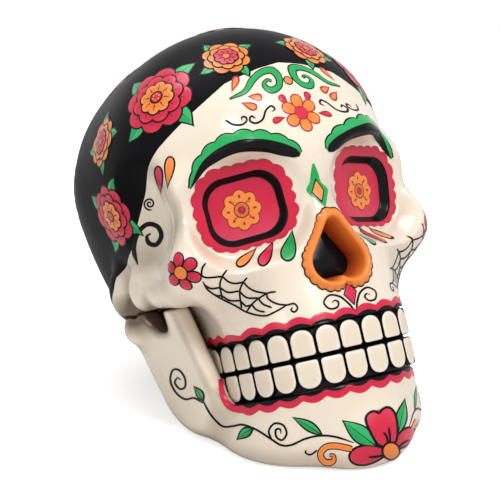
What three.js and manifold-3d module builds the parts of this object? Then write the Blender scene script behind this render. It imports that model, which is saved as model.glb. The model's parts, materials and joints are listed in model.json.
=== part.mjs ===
// A painted sugar skull for display, about twice life size: a hollow cranium in two mouldings,
// a hinged lower jaw, two cast tooth rows, eye cups, a rolled nasal rim and a screwed base.
// Millimetres. The bone is drawn level, x to the skull's left, y to the back and z up, with
// zero at eye height. The finished skull is then tipped back until it stands on its jaw.

import * as THREE from 'three';
import { mergeVertices } from 'three/addons/utils/BufferGeometryUtils.js';
import Module from 'manifold-3d';

const wasm = await Module();
wasm.setup();

// Driving dimensions of the whole
const REST_TILT = 22; // degrees the level skull is tipped back
const FLOOR_DROP = 169; // eye height above the floor once tipped
const WALL = 7; // thickness of the moulded shells
const FIT = 0.3; // gap between pieces that touch
const JAW_GAP = 2; // running gap between the jaw and the cranium
const SEAM_Y = 52; // joint between the face and rear mouldings
const LIP = 4; // thickness of the register lip inside the seam
const LIP_REACH = 12; // how far the lip enters the face moulding
const LIP_GAP = 1; // bond line between the lip and the face moulding
const LIP_ROOT = 3.5; // how deep the lip is rooted in the wall of the rear moulding

// Eye sockets: flat rim set in the face, shallow cup with sloped sides
const EYE = { x: 66, y: -141, z: 1.5 };
const EYE_YAW = 19; // degrees each socket looks outward
const EYE_PITCH = -6; // degrees it looks up, less than zero is down
const EYE_TURN = -4; // degrees the outline is rolled in its own plane
const EYE_HALF_WIDTH = 41;
const EYE_HALF_HEIGHT = 35.5;
const EYE_CORNER = 24;
const EYE_DEPTH = 9;
const EYE_SLOPE = 8; // how far the sides lean in on their way down
const EYE_RIM = 11; // flat painted border round the cup
const CUP_WALL = 3;

// Nasal opening: a rounded triangle, narrow end up
const NOSE_TOP = -21;
const NOSE_BOTTOM = -78;
const NOSE_TOP_RADIUS = 8;
const NOSE_SIDE_RADIUS = 17; // lower corners
const NOSE_HALF_WIDTH = 27.5;
const NOSE_DEPTH = 25;
const NOSE_TAPER = 5; // the passage narrows towards its back
const NOSE_FLANGE = 8.5; // width of the rolled rim on the face
const NOSE_ROLL = 4.5; // height of the roll
const NOSE_WALL = 3;

// Dental arch seen from above, and the levels of the bite
const ARCH_HALF = 88;
const ARCH_REACH = 131;
const ARCH_BACK = -50; // the arch runs straight behind this line
const ARCH_POWER = 2.95; // 2 is an oval, more is squarer
const GUM_TOP = -112;
const BITE = -139.3;
const GUM_BOTTOM = -171;
const TEETH_PER_SIDE = 8;
const TOOTH_GAP = 2.4;
const TOOTH_STANDOFF = 5; // crown face in front of the gum bar
const GUM_BAR = 17; // thickness of the bar that carries the crowns
const BITE_RELIEF = 2; // crowns stop this short of the bite

// Jaw
const JAW_THICK = 32;
const JAW_ROUND = 36; // rounding along the lower border
const JAW_INNER_EDGE = 12;
const JAW_GUM_EDGE = 6;
const JAW_BACK_EDGE = 30;
const JAW_ROCKER = { under: 8, radius: 417, middle: -140 }; // the border curves up from the floor
const JAW_STANDOFF = 2; // jaw outside the dental arch at the gum
const JAW_FLARE = { level: -160, fall: 60, half: 17, reach: 9, power: 2.5, powerLoss: 0.45, most: 1.3 };
const RAMUS_HALF = 11; // half thickness of the upright branch
const RAMUS_BACK = { from: [9, -84], to: [-6, -148], r0: 24, r1: 31 };
const RAMUS_FRONT = { from: [-59, -76], to: [-55, -146], r0: 12, r1: 20, blend: 16 };
const RAMUS_PLATE = { from: [-28, -118], to: [-34, -150], r0: 30, r1: 29, blend: 20 };
const RAMUS_SPREAD = { half: 97, level: -150, lean: 0.22, edge: 10, blend: 30 };
const CONDYLE_RADIUS = 14;
const CONDYLE = { inner: 108, outer: 122, taper: 1, blend: 14 };

// Hinge in the condyles
const HINGE_Y = 13;
const HINGE_Z = -80;
const HINGE_FACE = 97; // outer face of the boss on the cranium
const BOSS_RADIUS = 13;
const BOSS_DEPTH = 24;
const BOLT_RADIUS = 5;
const BOLT_HEAD_RADIUS = 9;
const BOLT_HEAD = 6;
const BUSH_WALL = 2.5;
const BUSH_LENGTH = 22;
const WASHER = 1.5;
const RUN = 0.3; // running clearance on the bolt

// Foot under the nape and the plate that closes it
const FOOT_Y = 60; // centre, measured along the floor
const FOOT_HALF_X = 66;
const FOOT_HALF_Y = 54;
const FOOT_RING = 16; // width of the solid ring the plate is screwed to
const FOOT_RING_HEIGHT = 22;
const PLATE = 4;
const PLATE_INSET = 3;
const PAD = 4;
const PAD_RADIUS = 10;
const SCREW_RADIUS = 2;
const SCREW_LENGTH = 14;
const SCREW_HEAD_RADIUS = 4.2;
const SCREW_HEAD = 2.4;

// Mesh spacing: fine on the face, coarser on the plain vault and inside
const FINE = 12.4;
const MEDIUM = 15;
const COARSE = 23;
const INSIDE = 42;
const FACE_DEPTH = 151; // how far back the fine spacing reaches
const ROUND = 16; // facets of turned pieces

// The bones of the cranium, each blended into what comes before it
const VAULT_REAR = { at: [0, 23, 52], half: [141, 146, 136] };
const VAULT_FRONT = { at: [0, -56, 60], half: [140, 107, 125], blend: 40 };
const TEMPLE_WALL = { at: [0, -20, -15], half: [122, 110, 66], blend: 30 };
const NAPE = { at: [0, 71, -25], half: [103, 88, 106], blend: 40 };
const BROW_INNER = { from: [0, -141, 44], to: [56, -141, 47], r0: 17, r1: 17, blend: 34 };
const BROW_OUTER = { from: [56, -141, 47], to: [106, -110, 26], r0: 17, r1: 17, blend: 34 };
const SIDE_RIM = { from: [106, -110, 26], to: [108, -106, -30], r0: 17, r1: 22, blend: 26 };
const MID_FACE = { at: [0, -90, -36], half: [116, 64, 56], blend: 30 };
const CHEEK = { at: [101, -109, -34], half: [38, 38, 30], blend: 30 };
const BUTTRESS = { from: [90, -112, -56], to: [74, -110, -94], r0: 15, r1: 13, blend: 26 };
const CHEEK_ARCH = { from: [124, -84, -46], to: [127, -26, -46], r0: 15, r1: 13, tall: 1.5, blend: 16 };
const EAR_LOBE = { at: [116, 15, -42], half: [24, 28, 32], blend: 9 };
const NASAL_BRIDGE = { from: [0, -142, 40], to: [0, -145, -14], r0: 16, r1: 19, blend: 24 };
const BOSS_ROOT = { from: [70, HINGE_Y, -62], to: [84, HINGE_Y, HINGE_Z], r0: 16, r1: 14, blend: 14 };
const TEMPLE_HOLLOW = { at: [150, -84, 8], half: [32, 34, 46], blend: 26 };
const MAXILLA = { top: -20, back: -20, lean: 70, halfLoss: 1, reachLoss: 14, round: 20, blend: 30 };
const CHIN = { at: [0, -154, -217], half: [32, 24, 22], blend: 34 };

const tilt = THREE.MathUtils.degToRad(REST_TILT);
const floorZ = -FLOOR_DROP;
const mix = (a, b, t) => a + (b - a) * t;
const unit = (t) => Math.min(Math.max(t, 0), 1);

// Distances and blends

function smoothMin(a, b, k) {
  const h = Math.max(k - Math.abs(a - b), 0) / k;
  return Math.min(a, b) - h * h * k / 4;
}

const smoothMax = (a, b, k) => -smoothMin(-a, -b, k);

function ellipsoid(x, y, z, { at, half }) {
  const u = (x - at[0]) / half[0];
  const v = (y - at[1]) / half[1];
  const w = (z - at[2]) / half[2];
  const reach = Math.hypot(u, v, w);
  return reach * (reach - 1) / (Math.hypot(u / half[0], v / half[1], w / half[2]) + 1e-9);
}

function limb(x, y, z, { from, to, r0, r1, tall = 1 }) {
  const ux = to[0] - from[0];
  const uy = to[1] - from[1];
  const uz = (to[2] - from[2]) / tall;
  const px = x - from[0];
  const py = y - from[1];
  const pz = (z - from[2]) / tall;
  const t = unit((px * ux + py * uy + pz * uz) / (ux * ux + uy * uy + uz * uz));
  return Math.hypot(px - t * ux, py - t * uy, pz - t * uz) - mix(r0, r1, t);
}

// A limb seen from the side
function strip(y, z, { from, to, r0, r1 }) {
  const u = to[0] - from[0];
  const v = to[1] - from[1];
  const t = unit(((y - from[0]) * u + (z - from[1]) * v) / (u * u + v * v));
  return Math.hypot(y - from[0] - t * u, z - from[1] - t * v) - mix(r0, r1, t);
}

function roundedBox(u, v, a, b, r) {
  const p = Math.abs(u) - (a - r);
  const q = Math.abs(v) - (b - r);
  return Math.hypot(Math.max(p, 0), Math.max(q, 0)) + Math.min(Math.max(p, q), 0) - r;
}

// A squared half oval in front with straight sides behind, seen from above
function archWall(x, y, half, reach, power) {
  const u = Math.abs(x) / half;
  const v = Math.max(ARCH_BACK - y, 0) / reach;
  const g = Math.pow(u ** power + v ** power, 1 / power) + 1e-9;
  return (g - 1) / (Math.hypot((u / g) ** (power - 1) / half, (v / g) ** (power - 1) / reach) + 1e-9);
}

// The socket's own axes: across, up and out of the face, on the skull's left
const eyeOut = new THREE.Vector3(0, -1, 0)
  .applyAxisAngle(new THREE.Vector3(1, 0, 0), -THREE.MathUtils.degToRad(EYE_PITCH))
  .applyAxisAngle(new THREE.Vector3(0, 0, 1), THREE.MathUtils.degToRad(EYE_YAW));
const eyeAcross = new THREE.Vector3(1, 0, 0)
  .applyAxisAngle(new THREE.Vector3(0, 0, 1), THREE.MathUtils.degToRad(EYE_YAW))
  .applyAxisAngle(eyeOut, THREE.MathUtils.degToRad(EYE_TURN));
const eyeUp = new THREE.Vector3().crossVectors(eyeOut, eyeAcross);
const eyeCentre = new THREE.Vector3(EYE.x, EYE.y, EYE.z);

function eyeRim(x, y, z) {
  const p = new THREE.Vector3(x, y, z).sub(eyeCentre);
  const border = roundedBox(p.dot(eyeAcross), p.dot(eyeUp),
    EYE_HALF_WIDTH + EYE_RIM, EYE_HALF_HEIGHT + EYE_RIM, EYE_CORNER + EYE_RIM);
  return { border, out: p.dot(eyeOut) };
}

const backAlongFloor = (y, z) => y * Math.cos(tilt) + z * Math.sin(tilt);
const heightUpright = (y, z) => z * Math.cos(tilt) - y * Math.sin(tilt);

function foot(x, y, z) {
  const u = x / FOOT_HALF_X;
  const v = (backAlongFloor(y, z) - FOOT_Y) / FOOT_HALF_Y;
  const reach = Math.hypot(u, v);
  const side = reach * (reach - 1) / (Math.hypot(u / FOOT_HALF_X, v / FOOT_HALF_Y) + 1e-9);
  const height = heightUpright(y, z) - floorZ;
  return Math.max(side, height - FOOT_RING_HEIGHT * 3, -height - FOOT_RING_HEIGHT);
}

function fossa(x, y, z) {
  return Math.max(Math.hypot(y - HINGE_Y, z - HINGE_Z) - CONDYLE_RADIUS - JAW_GAP, HINGE_FACE - x);
}

function cranium(xSigned, y, z, withRidges = true) {
  const x = Math.abs(xSigned);
  let d = ellipsoid(x, y, z, VAULT_REAR);
  for (const bone of [VAULT_FRONT, TEMPLE_WALL, NAPE]) {
    d = smoothMin(d, ellipsoid(x, y, z, bone), bone.blend);
  }
  if (withRidges) {
    for (const bone of [BROW_INNER, BROW_OUTER, SIDE_RIM]) {
      d = smoothMin(d, limb(x, y, z, bone), bone.blend);
    }
  }
  d = smoothMin(d, ellipsoid(x, y, z, MID_FACE), MID_FACE.blend);
  if (withRidges) {
    d = smoothMin(d, ellipsoid(x, y, z, CHEEK), CHEEK.blend);
    for (const bone of [BUTTRESS, CHEEK_ARCH]) {
      d = smoothMin(d, limb(x, y, z, bone), bone.blend);
    }
    d = smoothMin(d, ellipsoid(x, y, z, EAR_LOBE), EAR_LOBE.blend);
  }

  const down = unit((MAXILLA.top - 30 - z) / MAXILLA.lean);
  let jawbone = archWall(x, y, ARCH_HALF - MAXILLA.halfLoss * (1 - down),
    ARCH_REACH - MAXILLA.reachLoss * (1 - down), ARCH_POWER);
  jawbone = smoothMax(jawbone, Math.max(z - MAXILLA.top, GUM_TOP - FINE * 1.5 - z), MAXILLA.round);
  jawbone = smoothMax(jawbone, y - MAXILLA.back, MAXILLA.round);
  d = smoothMin(d, jawbone, MAXILLA.blend);
  d = smoothMin(d, foot(x, y, z), 20);
  const rim = eyeRim(x, y, z);
  if (withRidges) {
    d = smoothMin(d, limb(x, y, z, NASAL_BRIDGE), NASAL_BRIDGE.blend);
    d = smoothMin(d, limb(x, y, z, BOSS_ROOT), BOSS_ROOT.blend);
  }
  d = smoothMax(d, -ellipsoid(x, y, z, TEMPLE_HOLLOW), TEMPLE_HOLLOW.blend);
  if (withRidges) {
    d = smoothMin(d, Math.max(rim.border, rim.out - 2, -rim.out - 30), 16);
  }
  return Math.max(d, -fossa(x, y, z));
}

function jaw(xSigned, y, z) {
  const x = Math.abs(xSigned);
  const along = backAlongFloor(y, z);
  const rocker = floorZ - JAW_ROCKER.under + (along - JAW_ROCKER.middle) ** 2 / (2 * JAW_ROCKER.radius);
  const down = Math.min(Math.max((JAW_FLARE.level - z) / JAW_FLARE.fall, 0), JAW_FLARE.most);
  const outer = archWall(x, y, ARCH_HALF + JAW_STANDOFF + JAW_FLARE.half * down,
    ARCH_REACH - JAW_STANDOFF - JAW_FLARE.reach * down, JAW_FLARE.power - JAW_FLARE.powerLoss * down);
  let d = smoothMax(outer, rocker - heightUpright(y, z), JAW_ROUND);
  d = smoothMax(d, -(outer + JAW_THICK), JAW_INNER_EDGE);
  d = smoothMax(d, z - GUM_BOTTOM - FIT, JAW_GUM_EDGE);
  d = smoothMax(d, y, JAW_BACK_EDGE);
  d = smoothMin(d, ellipsoid(x, y, z, CHIN), CHIN.blend);

  let branch = strip(y, z, RAMUS_BACK);
  for (const part of [RAMUS_FRONT, RAMUS_PLATE]) {
    branch = smoothMin(branch, strip(y, z, part), part.blend);
  }
  const middle = RAMUS_SPREAD.half + (z - RAMUS_SPREAD.level) * RAMUS_SPREAD.lean;
  branch = smoothMax(branch, Math.abs(x - middle) - RAMUS_HALF, RAMUS_SPREAD.edge);
  d = smoothMin(d, branch, RAMUS_SPREAD.blend);
  const condyle = {
    from: [CONDYLE.inner, HINGE_Y, HINGE_Z],
    to: [CONDYLE.outer, HINGE_Y, HINGE_Z],
    r0: CONDYLE_RADIUS,
    r1: CONDYLE_RADIUS - CONDYLE.taper,
  };
  d = smoothMin(d, limb(x, y, z, condyle), CONDYLE.blend);
  return Math.max(d, JAW_GAP - cranium(x, y, z));
}

// Meshes

function bodyOf(positions, triangles) {
  const geometry = new THREE.BufferGeometry();
  geometry.setAttribute('position', new THREE.Float32BufferAttribute(positions, 3));
  geometry.setIndex(triangles);
  return facingOut(geometry);
}

function facingOut(geometry) {
  const position = geometry.attributes.position;
  const index = geometry.index.array;
  const a = new THREE.Vector3();
  const b = new THREE.Vector3();
  const c = new THREE.Vector3();
  let volume = 0;
  for (let i = 0; i < index.length; i += 3) {
    a.fromBufferAttribute(position, index[i]);
    b.fromBufferAttribute(position, index[i + 1]);
    c.fromBufferAttribute(position, index[i + 2]);
    volume += a.dot(b.cross(c));
  }
  if (volume < 0) {
    for (let i = 0; i < index.length; i += 3) {
      [index[i + 1], index[i + 2]] = [index[i + 2], index[i + 1]];
    }
  }
  return geometry;
}

function gridLines(stretches) {
  const lines = [stretches[0][0]];
  for (const [from, to, step] of stretches) {
    const count = Math.max(1, Math.round((to - from) / step));
    for (let i = 1; i <= count; i++) {
      lines.push(mix(from, to, i / count));
    }
  }
  return lines;
}

// Slides a point down the field's slope onto its zero surface
function settle(field, p, reach) {
  const step = 0.5;
  const start = [...p];
  for (let round = 0; round < 4; round++) {
    const d = field(p[0], p[1], p[2]);
    const slope = [
      field(p[0] + step, p[1], p[2]) - field(p[0] - step, p[1], p[2]),
      field(p[0], p[1] + step, p[2]) - field(p[0], p[1] - step, p[2]),
      field(p[0], p[1], p[2] + step) - field(p[0], p[1], p[2] - step),
    ].map((s) => s / (2 * step));
    const steep = slope[0] ** 2 + slope[1] ** 2 + slope[2] ** 2 + 1e-6;
    p = p.map((value, i) => {
      const moved = value - d * slope[i] / steep;
      return Math.min(Math.max(moved, start[i] - reach), start[i] + reach);
    });
  }
  return p;
}

// Corners of a cell are numbered by their x, y and z bits, its edges by axis and the other two bits
const CELL_EDGES = [0, 1, 2].flatMap((axis) => [0, 1, 2, 3].map((bits) => {
  const start = ((bits & 1) << ((axis + 1) % 3)) | ((bits >> 1) << ((axis + 2) % 3));
  return { start, end: start | (1 << axis) };
}));
const CELL_FACES = [0, 1, 2].flatMap((axis) => [0, 1].map((side) => {
  const on = (corner) => ((corner >> axis) & 1) === side;
  return {
    edges: CELL_EDGES.map((_, e) => e).filter((e) => on(CELL_EDGES[e].start) && on(CELL_EDGES[e].end)),
    corners: [0, 1, 2, 3, 4, 5, 6, 7].filter(on),
  };
}));

// Sorts the crossed edges of one cell into the separate sheets of surface that pass through it
function sheetsOf(inside) {
  const sheet = CELL_EDGES.map(({ start, end }, e) => (inside[start] !== inside[end] ? e : -1));
  const join = (a, b) => {
    const [to, from] = [sheet[a], sheet[b]];
    for (let e = 0; e < 12; e++) {
      if (sheet[e] === from) sheet[e] = to;
    }
  };
  for (const { edges, corners } of CELL_FACES) {
    const crossed = edges.filter((e) => sheet[e] >= 0);
    if (crossed.length === 2) join(crossed[0], crossed[1]);
    if (crossed.length < 4) continue;
    for (const corner of corners.filter((c) => inside[c])) {
      const [a, b] = crossed.filter((e) => CELL_EDGES[e].start === corner || CELL_EDGES[e].end === corner);
      join(a, b);
    }
  }
  return sheet;
}

// One point for every sheet in every cell, one four sided face for every crossed grid edge
function sculpt(field, xs, ys, zs) {
  const lines = [xs, ys, zs];
  const [nx, ny, nz] = [xs.length, ys.length, zs.length];
  const at = (i, j, k) => (k * ny + j) * nx + i;
  const value = new Float64Array(nx * ny * nz);
  for (let k = 0; k < nz; k++) {
    for (let j = 0; j < ny; j++) {
      for (let i = 0; i < nx; i++) {
        value[at(i, j, k)] = field(xs[i], ys[j], zs[k]);
      }
    }
  }
  const pointOf = new Int32Array(nx * ny * nz * 12).fill(-1);
  const points = [];
  for (let k = 0; k < nz - 1; k++) {
    for (let j = 0; j < ny - 1; j++) {
      for (let i = 0; i < nx - 1; i++) {
        const corner = [0, 1, 2, 3, 4, 5, 6, 7].map(
          (c) => value[at(i + (c & 1), j + ((c >> 1) & 1), k + (c >> 2))]);
        const inside = corner.map((v) => v < 0);
        if (inside.every((v) => v === inside[0])) continue;
        const sheet = sheetsOf(inside);
        for (const one of new Set(sheet.filter((e) => e >= 0))) {
          const members = CELL_EDGES.map((_, e) => e).filter((e) => sheet[e] === one);
          const middle = [0, 1, 2].map((axis) => members.reduce((sum, e) => {
            const { start, end } = CELL_EDGES[e];
            const t = corner[start] / (corner[start] - corner[end]);
            const base = [i, j, k][axis];
            return sum + mix(lines[axis][base + ((start >> axis) & 1)],
              lines[axis][base + ((end >> axis) & 1)], t);
          }, 0) / members.length);
          for (const e of members) {
            pointOf[at(i, j, k) * 12 + e] = points.length;
          }
          points.push(settle(field, middle, (xs[i + 1] - xs[i]) * 0.4));
        }
      }
    }
  }
  const triangles = [];
  const far = (a, b) => Math.hypot(points[a][0] - points[b][0], points[a][1] - points[b][1],
    points[a][2] - points[b][2]);
  const steps = [[0, 0], [1, 0], [1, 1], [0, 1]];
  for (let k = 1; k < nz - 1; k++) {
    for (let j = 1; j < ny - 1; j++) {
      for (let i = 1; i < nx - 1; i++) {
        const inside = value[at(i, j, k)] < 0;
        for (let axis = 0; axis < 3; axis++) {
          const next = [i, j, k];
          next[axis]++;
          if (inside === value[at(...next)] < 0) continue;
          const quad = steps.map(([p, q]) => {
            const cell = [i, j, k];
            cell[(axis + 1) % 3] -= 1 - p;
            cell[(axis + 2) % 3] -= 1 - q;
            return pointOf[at(...cell) * 12 + axis * 4 + (1 - p) + 2 * (1 - q)];
          });
          if (!inside) quad.reverse();
          const [a, b, c, d] = quad;
          if (far(a, c) < far(b, d)) {
            triangles.push(a, b, c, a, c, d);
          } else {
            triangles.push(a, b, d, b, c, d);
          }
        }
      }
    }
  }
  return bodyOf(points.flat(), triangles);
}

// Rings of equal count joined side to side: capped at both ends, or closed into a loop
function loft(rings, loop = false) {
  const n = rings[0].length;
  const positions = rings.flat();
  const triangles = [];
  const last = loop ? rings.length : rings.length - 1;
  for (let r = 0; r < last; r++) {
    const next = (r + 1) % rings.length;
    for (let i = 0; i < n; i++) {
      const j = (i + 1) % n;
      triangles.push(r * n + i, r * n + j, next * n + j, r * n + i, next * n + j, next * n + i);
    }
  }
  if (!loop) {
    for (const [r, flip] of [[0, true], [rings.length - 1, false]]) {
      const centre = positions.length;
      positions.push([0, 1, 2].map((k) => rings[r].reduce((sum, p) => sum + p[k], 0) / n));
      for (let i = 0; i < n; i++) {
        const pair = [r * n + i, r * n + (i + 1) % n];
        triangles.push(centre, ...(flip ? pair.reverse() : pair));
      }
    }
  }
  return bodyOf(positions.flat(), triangles);
}

function revolve(profile, segments = ROUND) {
  const points = profile.map(([r, h]) => new THREE.Vector2(r, h));
  return plain(new THREE.LatheGeometry(points, segments));
}

function plain(geometry) {
  geometry.deleteAttribute('normal');
  geometry.deleteAttribute('uv');
  const merged = mergeVertices(geometry, 1e-4);
  const index = merged.index.array;
  const kept = [];
  for (let i = 0; i < index.length; i += 3) {
    const [a, b, c] = [index[i], index[i + 1], index[i + 2]];
    if (a !== b && b !== c && c !== a) kept.push(a, b, c);
  }
  merged.setIndex(kept);
  return facingOut(merged);
}

function block(low, high) {
  const box = new THREE.BoxGeometry(high[0] - low[0], high[1] - low[1], high[2] - low[2]);
  box.translate((low[0] + high[0]) / 2, (low[1] + high[1]) / 2, (low[2] + high[2]) / 2);
  return plain(box);
}

function mirrored(geometry) {
  return facingOut(geometry.clone().scale(-1, 1, 1));
}

// Turns a shape drawn upright on the floor into the level frame of the bone
function fromFloor(geometry) {
  return geometry.rotateX(tilt);
}

function solid(geometry) {
  return new wasm.Manifold(new wasm.Mesh({
    numProp: 3,
    vertProperties: new Float32Array(geometry.attributes.position.array),
    triVerts: new Uint32Array(geometry.index.array),
  }));
}

function shape(body) {
  const mesh = body.getMesh();
  return bodyOf([...mesh.vertProperties], [...mesh.triVerts]);
}

const BIG = 600;
const bothSides = (geometry) => [geometry, mirrored(geometry)];
const joined = (first, ...more) => more.reduce((sum, g) => sum.add(solid(g)), first);
const cut = (first, ...more) => more.reduce((sum, g) => sum.subtract(solid(g)), first);

// Cranium: outer skin, hollow, seam, foot and hinge bosses

const gridFront = ARCH_BACK - ARCH_REACH - 3 * FINE;
const overlap = 3 * COARSE; // how far each moulding is drawn past the seam before it is trimmed
const faceGrid = [
  gridLines([[-11.5 * MEDIUM, 11.5 * MEDIUM, MEDIUM]]),
  gridLines([[gridFront, gridFront + FACE_DEPTH, FINE], [gridFront + FACE_DEPTH, SEAM_Y + overlap, COARSE]]),
  gridLines([[floorZ - 50, GUM_TOP - 20, COARSE], [GUM_TOP - 20, 60, FINE], [60, 240, COARSE]]),
];
const rearGrid = [
  gridLines([[-8.5 * COARSE, 8.5 * COARSE, COARSE]]),
  gridLines([[SEAM_Y - overlap, 210, COARSE]]),
  gridLines([[floorZ - 50, 225, COARSE]]),
];
const hollowGrid = [
  gridLines([[-4.5 * INSIDE, 4.5 * INSIDE, INSIDE]]),
  gridLines([[gridFront - INSIDE / 5, 220, INSIDE]]),
  gridLines([[floorZ - 60, 235, INSIDE]]),
];
const faceField = (x, y, z) => Math.max(cranium(x, y, z), y - SEAM_Y - overlap / 2);
const rearField = (x, y, z) => Math.max(cranium(x, y, z), SEAM_Y - overlap / 2 - y);
const offsetHollow = (depth) => sculpt((x, y, z) => cranium(x, y, z, false) + depth, ...hollowGrid);

const ringBottom = floorZ + PAD + FIT + PLATE + FIT;
const ringTop = ringBottom + FOOT_RING_HEIGHT;
const belowFloorPart = (top) => fromFloor(block([-BIG, -BIG, -BIG], [BIG, BIG, top]));

function oval(halfX, halfY, count = 28) {
  return Array.from({ length: count }, (_, i) => {
    const a = 2 * Math.PI * i / count;
    return [halfX * Math.cos(a), FOOT_Y + halfY * Math.sin(a)];
  });
}

function ovalPrism(halfX, halfY, low, high) {
  const ring = (z) => oval(halfX, halfY).map(([x, y]) => [x, y, z]);
  return fromFloor(loft([ring(low), ring(high)]));
}

const footOpening = ovalPrism(FOOT_HALF_X - FOOT_RING, FOOT_HALF_Y - FOOT_RING,
  ringBottom - WALL, ringTop + WALL);

const palate = (z) => block([-BIG, -BIG, GUM_TOP - BIG], [BIG, SEAM_Y - FOOT_RING, z]);

const eyeBacking = loft([eyeRing(-EYE_DEPTH - WALL, EYE_SLOPE + EYE_RIM + WALL),
  eyeRing(BIG, EYE_RIM + WALL)]);
const hollow = cut(solid(offsetHollow(WALL)), palate(GUM_TOP + WALL), belowFloorPart(ringTop),
  ...bothSides(eyeBacking));
const faceSkin = cut(solid(sculpt(faceField, ...faceGrid)), palate(GUM_TOP));
const rearSkin = cut(solid(sculpt(rearField, ...rearGrid)), belowFloorPart(ringBottom));

// A shape drawn along +Y, laid along +X with its start at x, on the hinge axis
function onHinge(geometry, x) {
  return geometry.rotateZ(-Math.PI / 2).translate(x, HINGE_Y, HINGE_Z);
}

const rod = (radius, length, segments = ROUND) => revolve(
  [[0, 0], [radius, 0], [radius, length], [0, length]], segments);

const clearOf = (radius, segments = ROUND) => radius / Math.cos(Math.PI / segments);
const boltHole = clearOf(BOLT_RADIUS + RUN);
const bossInner = HINGE_FACE - BOSS_DEPTH;
const headPocket = onHinge(rod(BOLT_HEAD_RADIUS + 2, 4 * BOLT_HEAD), bossInner - 4 * BOLT_HEAD);

const ahead = block([-BIG, -BIG, -BIG], [BIG, SEAM_Y - FIT / 2, BIG]);
const behind = block([-BIG, SEAM_Y + FIT / 2, -BIG], [BIG, BIG, BIG]);
const faceHalf = cut(
  joined(faceSkin.subtract(hollow), ...bothSides(onHinge(rod(BOSS_RADIUS, BOSS_DEPTH), bossInner))),
  ...bothSides(headPocket),
  ...bothSides(onHinge(rod(boltHole, BOSS_DEPTH + 2 * WALL), bossInner - WALL)),
  ...bothSides(onHinge(rod(CONDYLE_RADIUS + JAW_GAP, BIG), HINGE_FACE)),
).intersect(solid(ahead));

// Register lip: a band of the rear moulding that enters the face moulding behind its wall
const lipReach = block([-BIG, SEAM_Y - LIP_REACH, -BIG], [BIG, SEAM_Y + LIP_REACH / 2, BIG]);
const lipCore = solid(offsetHollow(WALL + LIP_GAP + LIP));
const lipTongue = solid(offsetHollow(WALL + LIP_GAP)).subtract(lipCore).intersect(solid(lipReach));
const lipRoot = solid(offsetHollow(WALL - LIP_ROOT)).subtract(lipCore)
  .intersect(solid(lipReach)).intersect(solid(behind));

// Base screws go through the plate into the ring

const screwSpots = oval(FOOT_HALF_X - FOOT_RING / 2, FOOT_HALF_Y - FOOT_RING / 2, 8)
  .filter((_, i) => i % 2 === 1);
const padSpots = oval(FOOT_HALF_X - FOOT_RING, FOOT_HALF_Y - FOOT_RING, 8)
  .filter((_, i) => i % 2 === 0);

function upright(geometry, [x, y], z) {
  return fromFloor(geometry.rotateX(Math.PI / 2).translate(x, y, z));
}

const plateBottom = floorZ + PAD + FIT;
const screwHoles = screwSpots.map((spot) => upright(
  rod(clearOf(SCREW_RADIUS + FIT, 10), SCREW_LENGTH + PLATE, 10), spot, plateBottom - PLATE / 2));

const rearShell = cut(
  rearSkin.subtract(hollow).intersect(solid(behind)).add(lipRoot).add(lipTongue),
  footOpening, ...screwHoles);

// Eye cups: lofted rounded boxes that lean in as they go down

function eyeRing(out, grow, points = 28) {
  const down = unit(-out / EYE_DEPTH);
  const a = EYE_HALF_WIDTH - EYE_SLOPE * down + grow;
  const b = EYE_HALF_HEIGHT - EYE_SLOPE * down + grow;
  const r = EYE_CORNER - EYE_SLOPE * down * 0.5 + grow;
  return Array.from({ length: points }, (_, i) => {
    const angle = 2 * Math.PI * (i + 0.5) / points;
    const c = Math.cos(angle);
    const s = Math.sin(angle);
    const u = Math.sign(c) * (a - r) + r * c;
    const v = Math.sign(s) * (b - r) + r * s;
    return eyeCentre.clone().addScaledVector(eyeAcross, u).addScaledVector(eyeUp, v)
      .addScaledVector(eyeOut, out).toArray();
  });
}

const cupBack = EYE_DEPTH + CUP_WALL;
const eyeRecess = loft([eyeRing(0, EYE_RIM), eyeRing(3 * EYE_RIM, EYE_RIM)]);
const eyeCavity = loft([eyeRing(EYE_RIM, 0), eyeRing(0, 0), eyeRing(-EYE_DEPTH, 0)]);
const eyeBody = loft([eyeRing(0, CUP_WALL), eyeRing(-EYE_DEPTH, CUP_WALL), eyeRing(-cupBack, CUP_WALL)]);
const eyeHole = loft([eyeRing(EYE_RIM, CUP_WALL + FIT), eyeRing(0, CUP_WALL + FIT),
  eyeRing(-EYE_DEPTH, CUP_WALL + FIT), eyeRing(-cupBack - 2 * WALL, CUP_WALL + FIT)]);
const eyeCup = shape(cut(solid(eyeBody), eyeCavity));

// Nasal rim: a flange rolled over the face and a passage that leads in

const NOSE_POINTS = 30;
const NOSE_STEPS = 360;
const noseSide = NOSE_HALF_WIDTH - NOSE_SIDE_RADIUS;
const noseDiscs = [
  { x: 0, z: NOSE_TOP - NOSE_TOP_RADIUS, r: NOSE_TOP_RADIUS },
  { x: noseSide, z: NOSE_BOTTOM + NOSE_SIDE_RADIUS, r: NOSE_SIDE_RADIUS },
  { x: -noseSide, z: NOSE_BOTTOM + NOSE_SIDE_RADIUS, r: NOSE_SIDE_RADIUS },
];

// The line drawn tight round the three discs, with the way out at each point
const noseTrace = Array.from({ length: NOSE_STEPS + 1 }, (_, i) => {
  const angle = 2 * Math.PI * i / NOSE_STEPS - Math.PI / 2;
  const c = Math.cos(angle);
  const s = Math.sin(angle);
  const reach = (disc) => disc.x * c + disc.z * s + disc.r;
  const disc = noseDiscs.reduce((best, next) => (reach(next) > reach(best) ? next : best));
  return { at: [disc.x + disc.r * c, disc.z + disc.r * s], out: [c, s], run: 0 };
});
for (let i = 1; i <= NOSE_STEPS; i++) {
  const [a, b] = [noseTrace[i - 1].at, noseTrace[i].at];
  noseTrace[i].run = noseTrace[i - 1].run + Math.hypot(b[0] - a[0], b[1] - a[1]);
}

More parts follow.
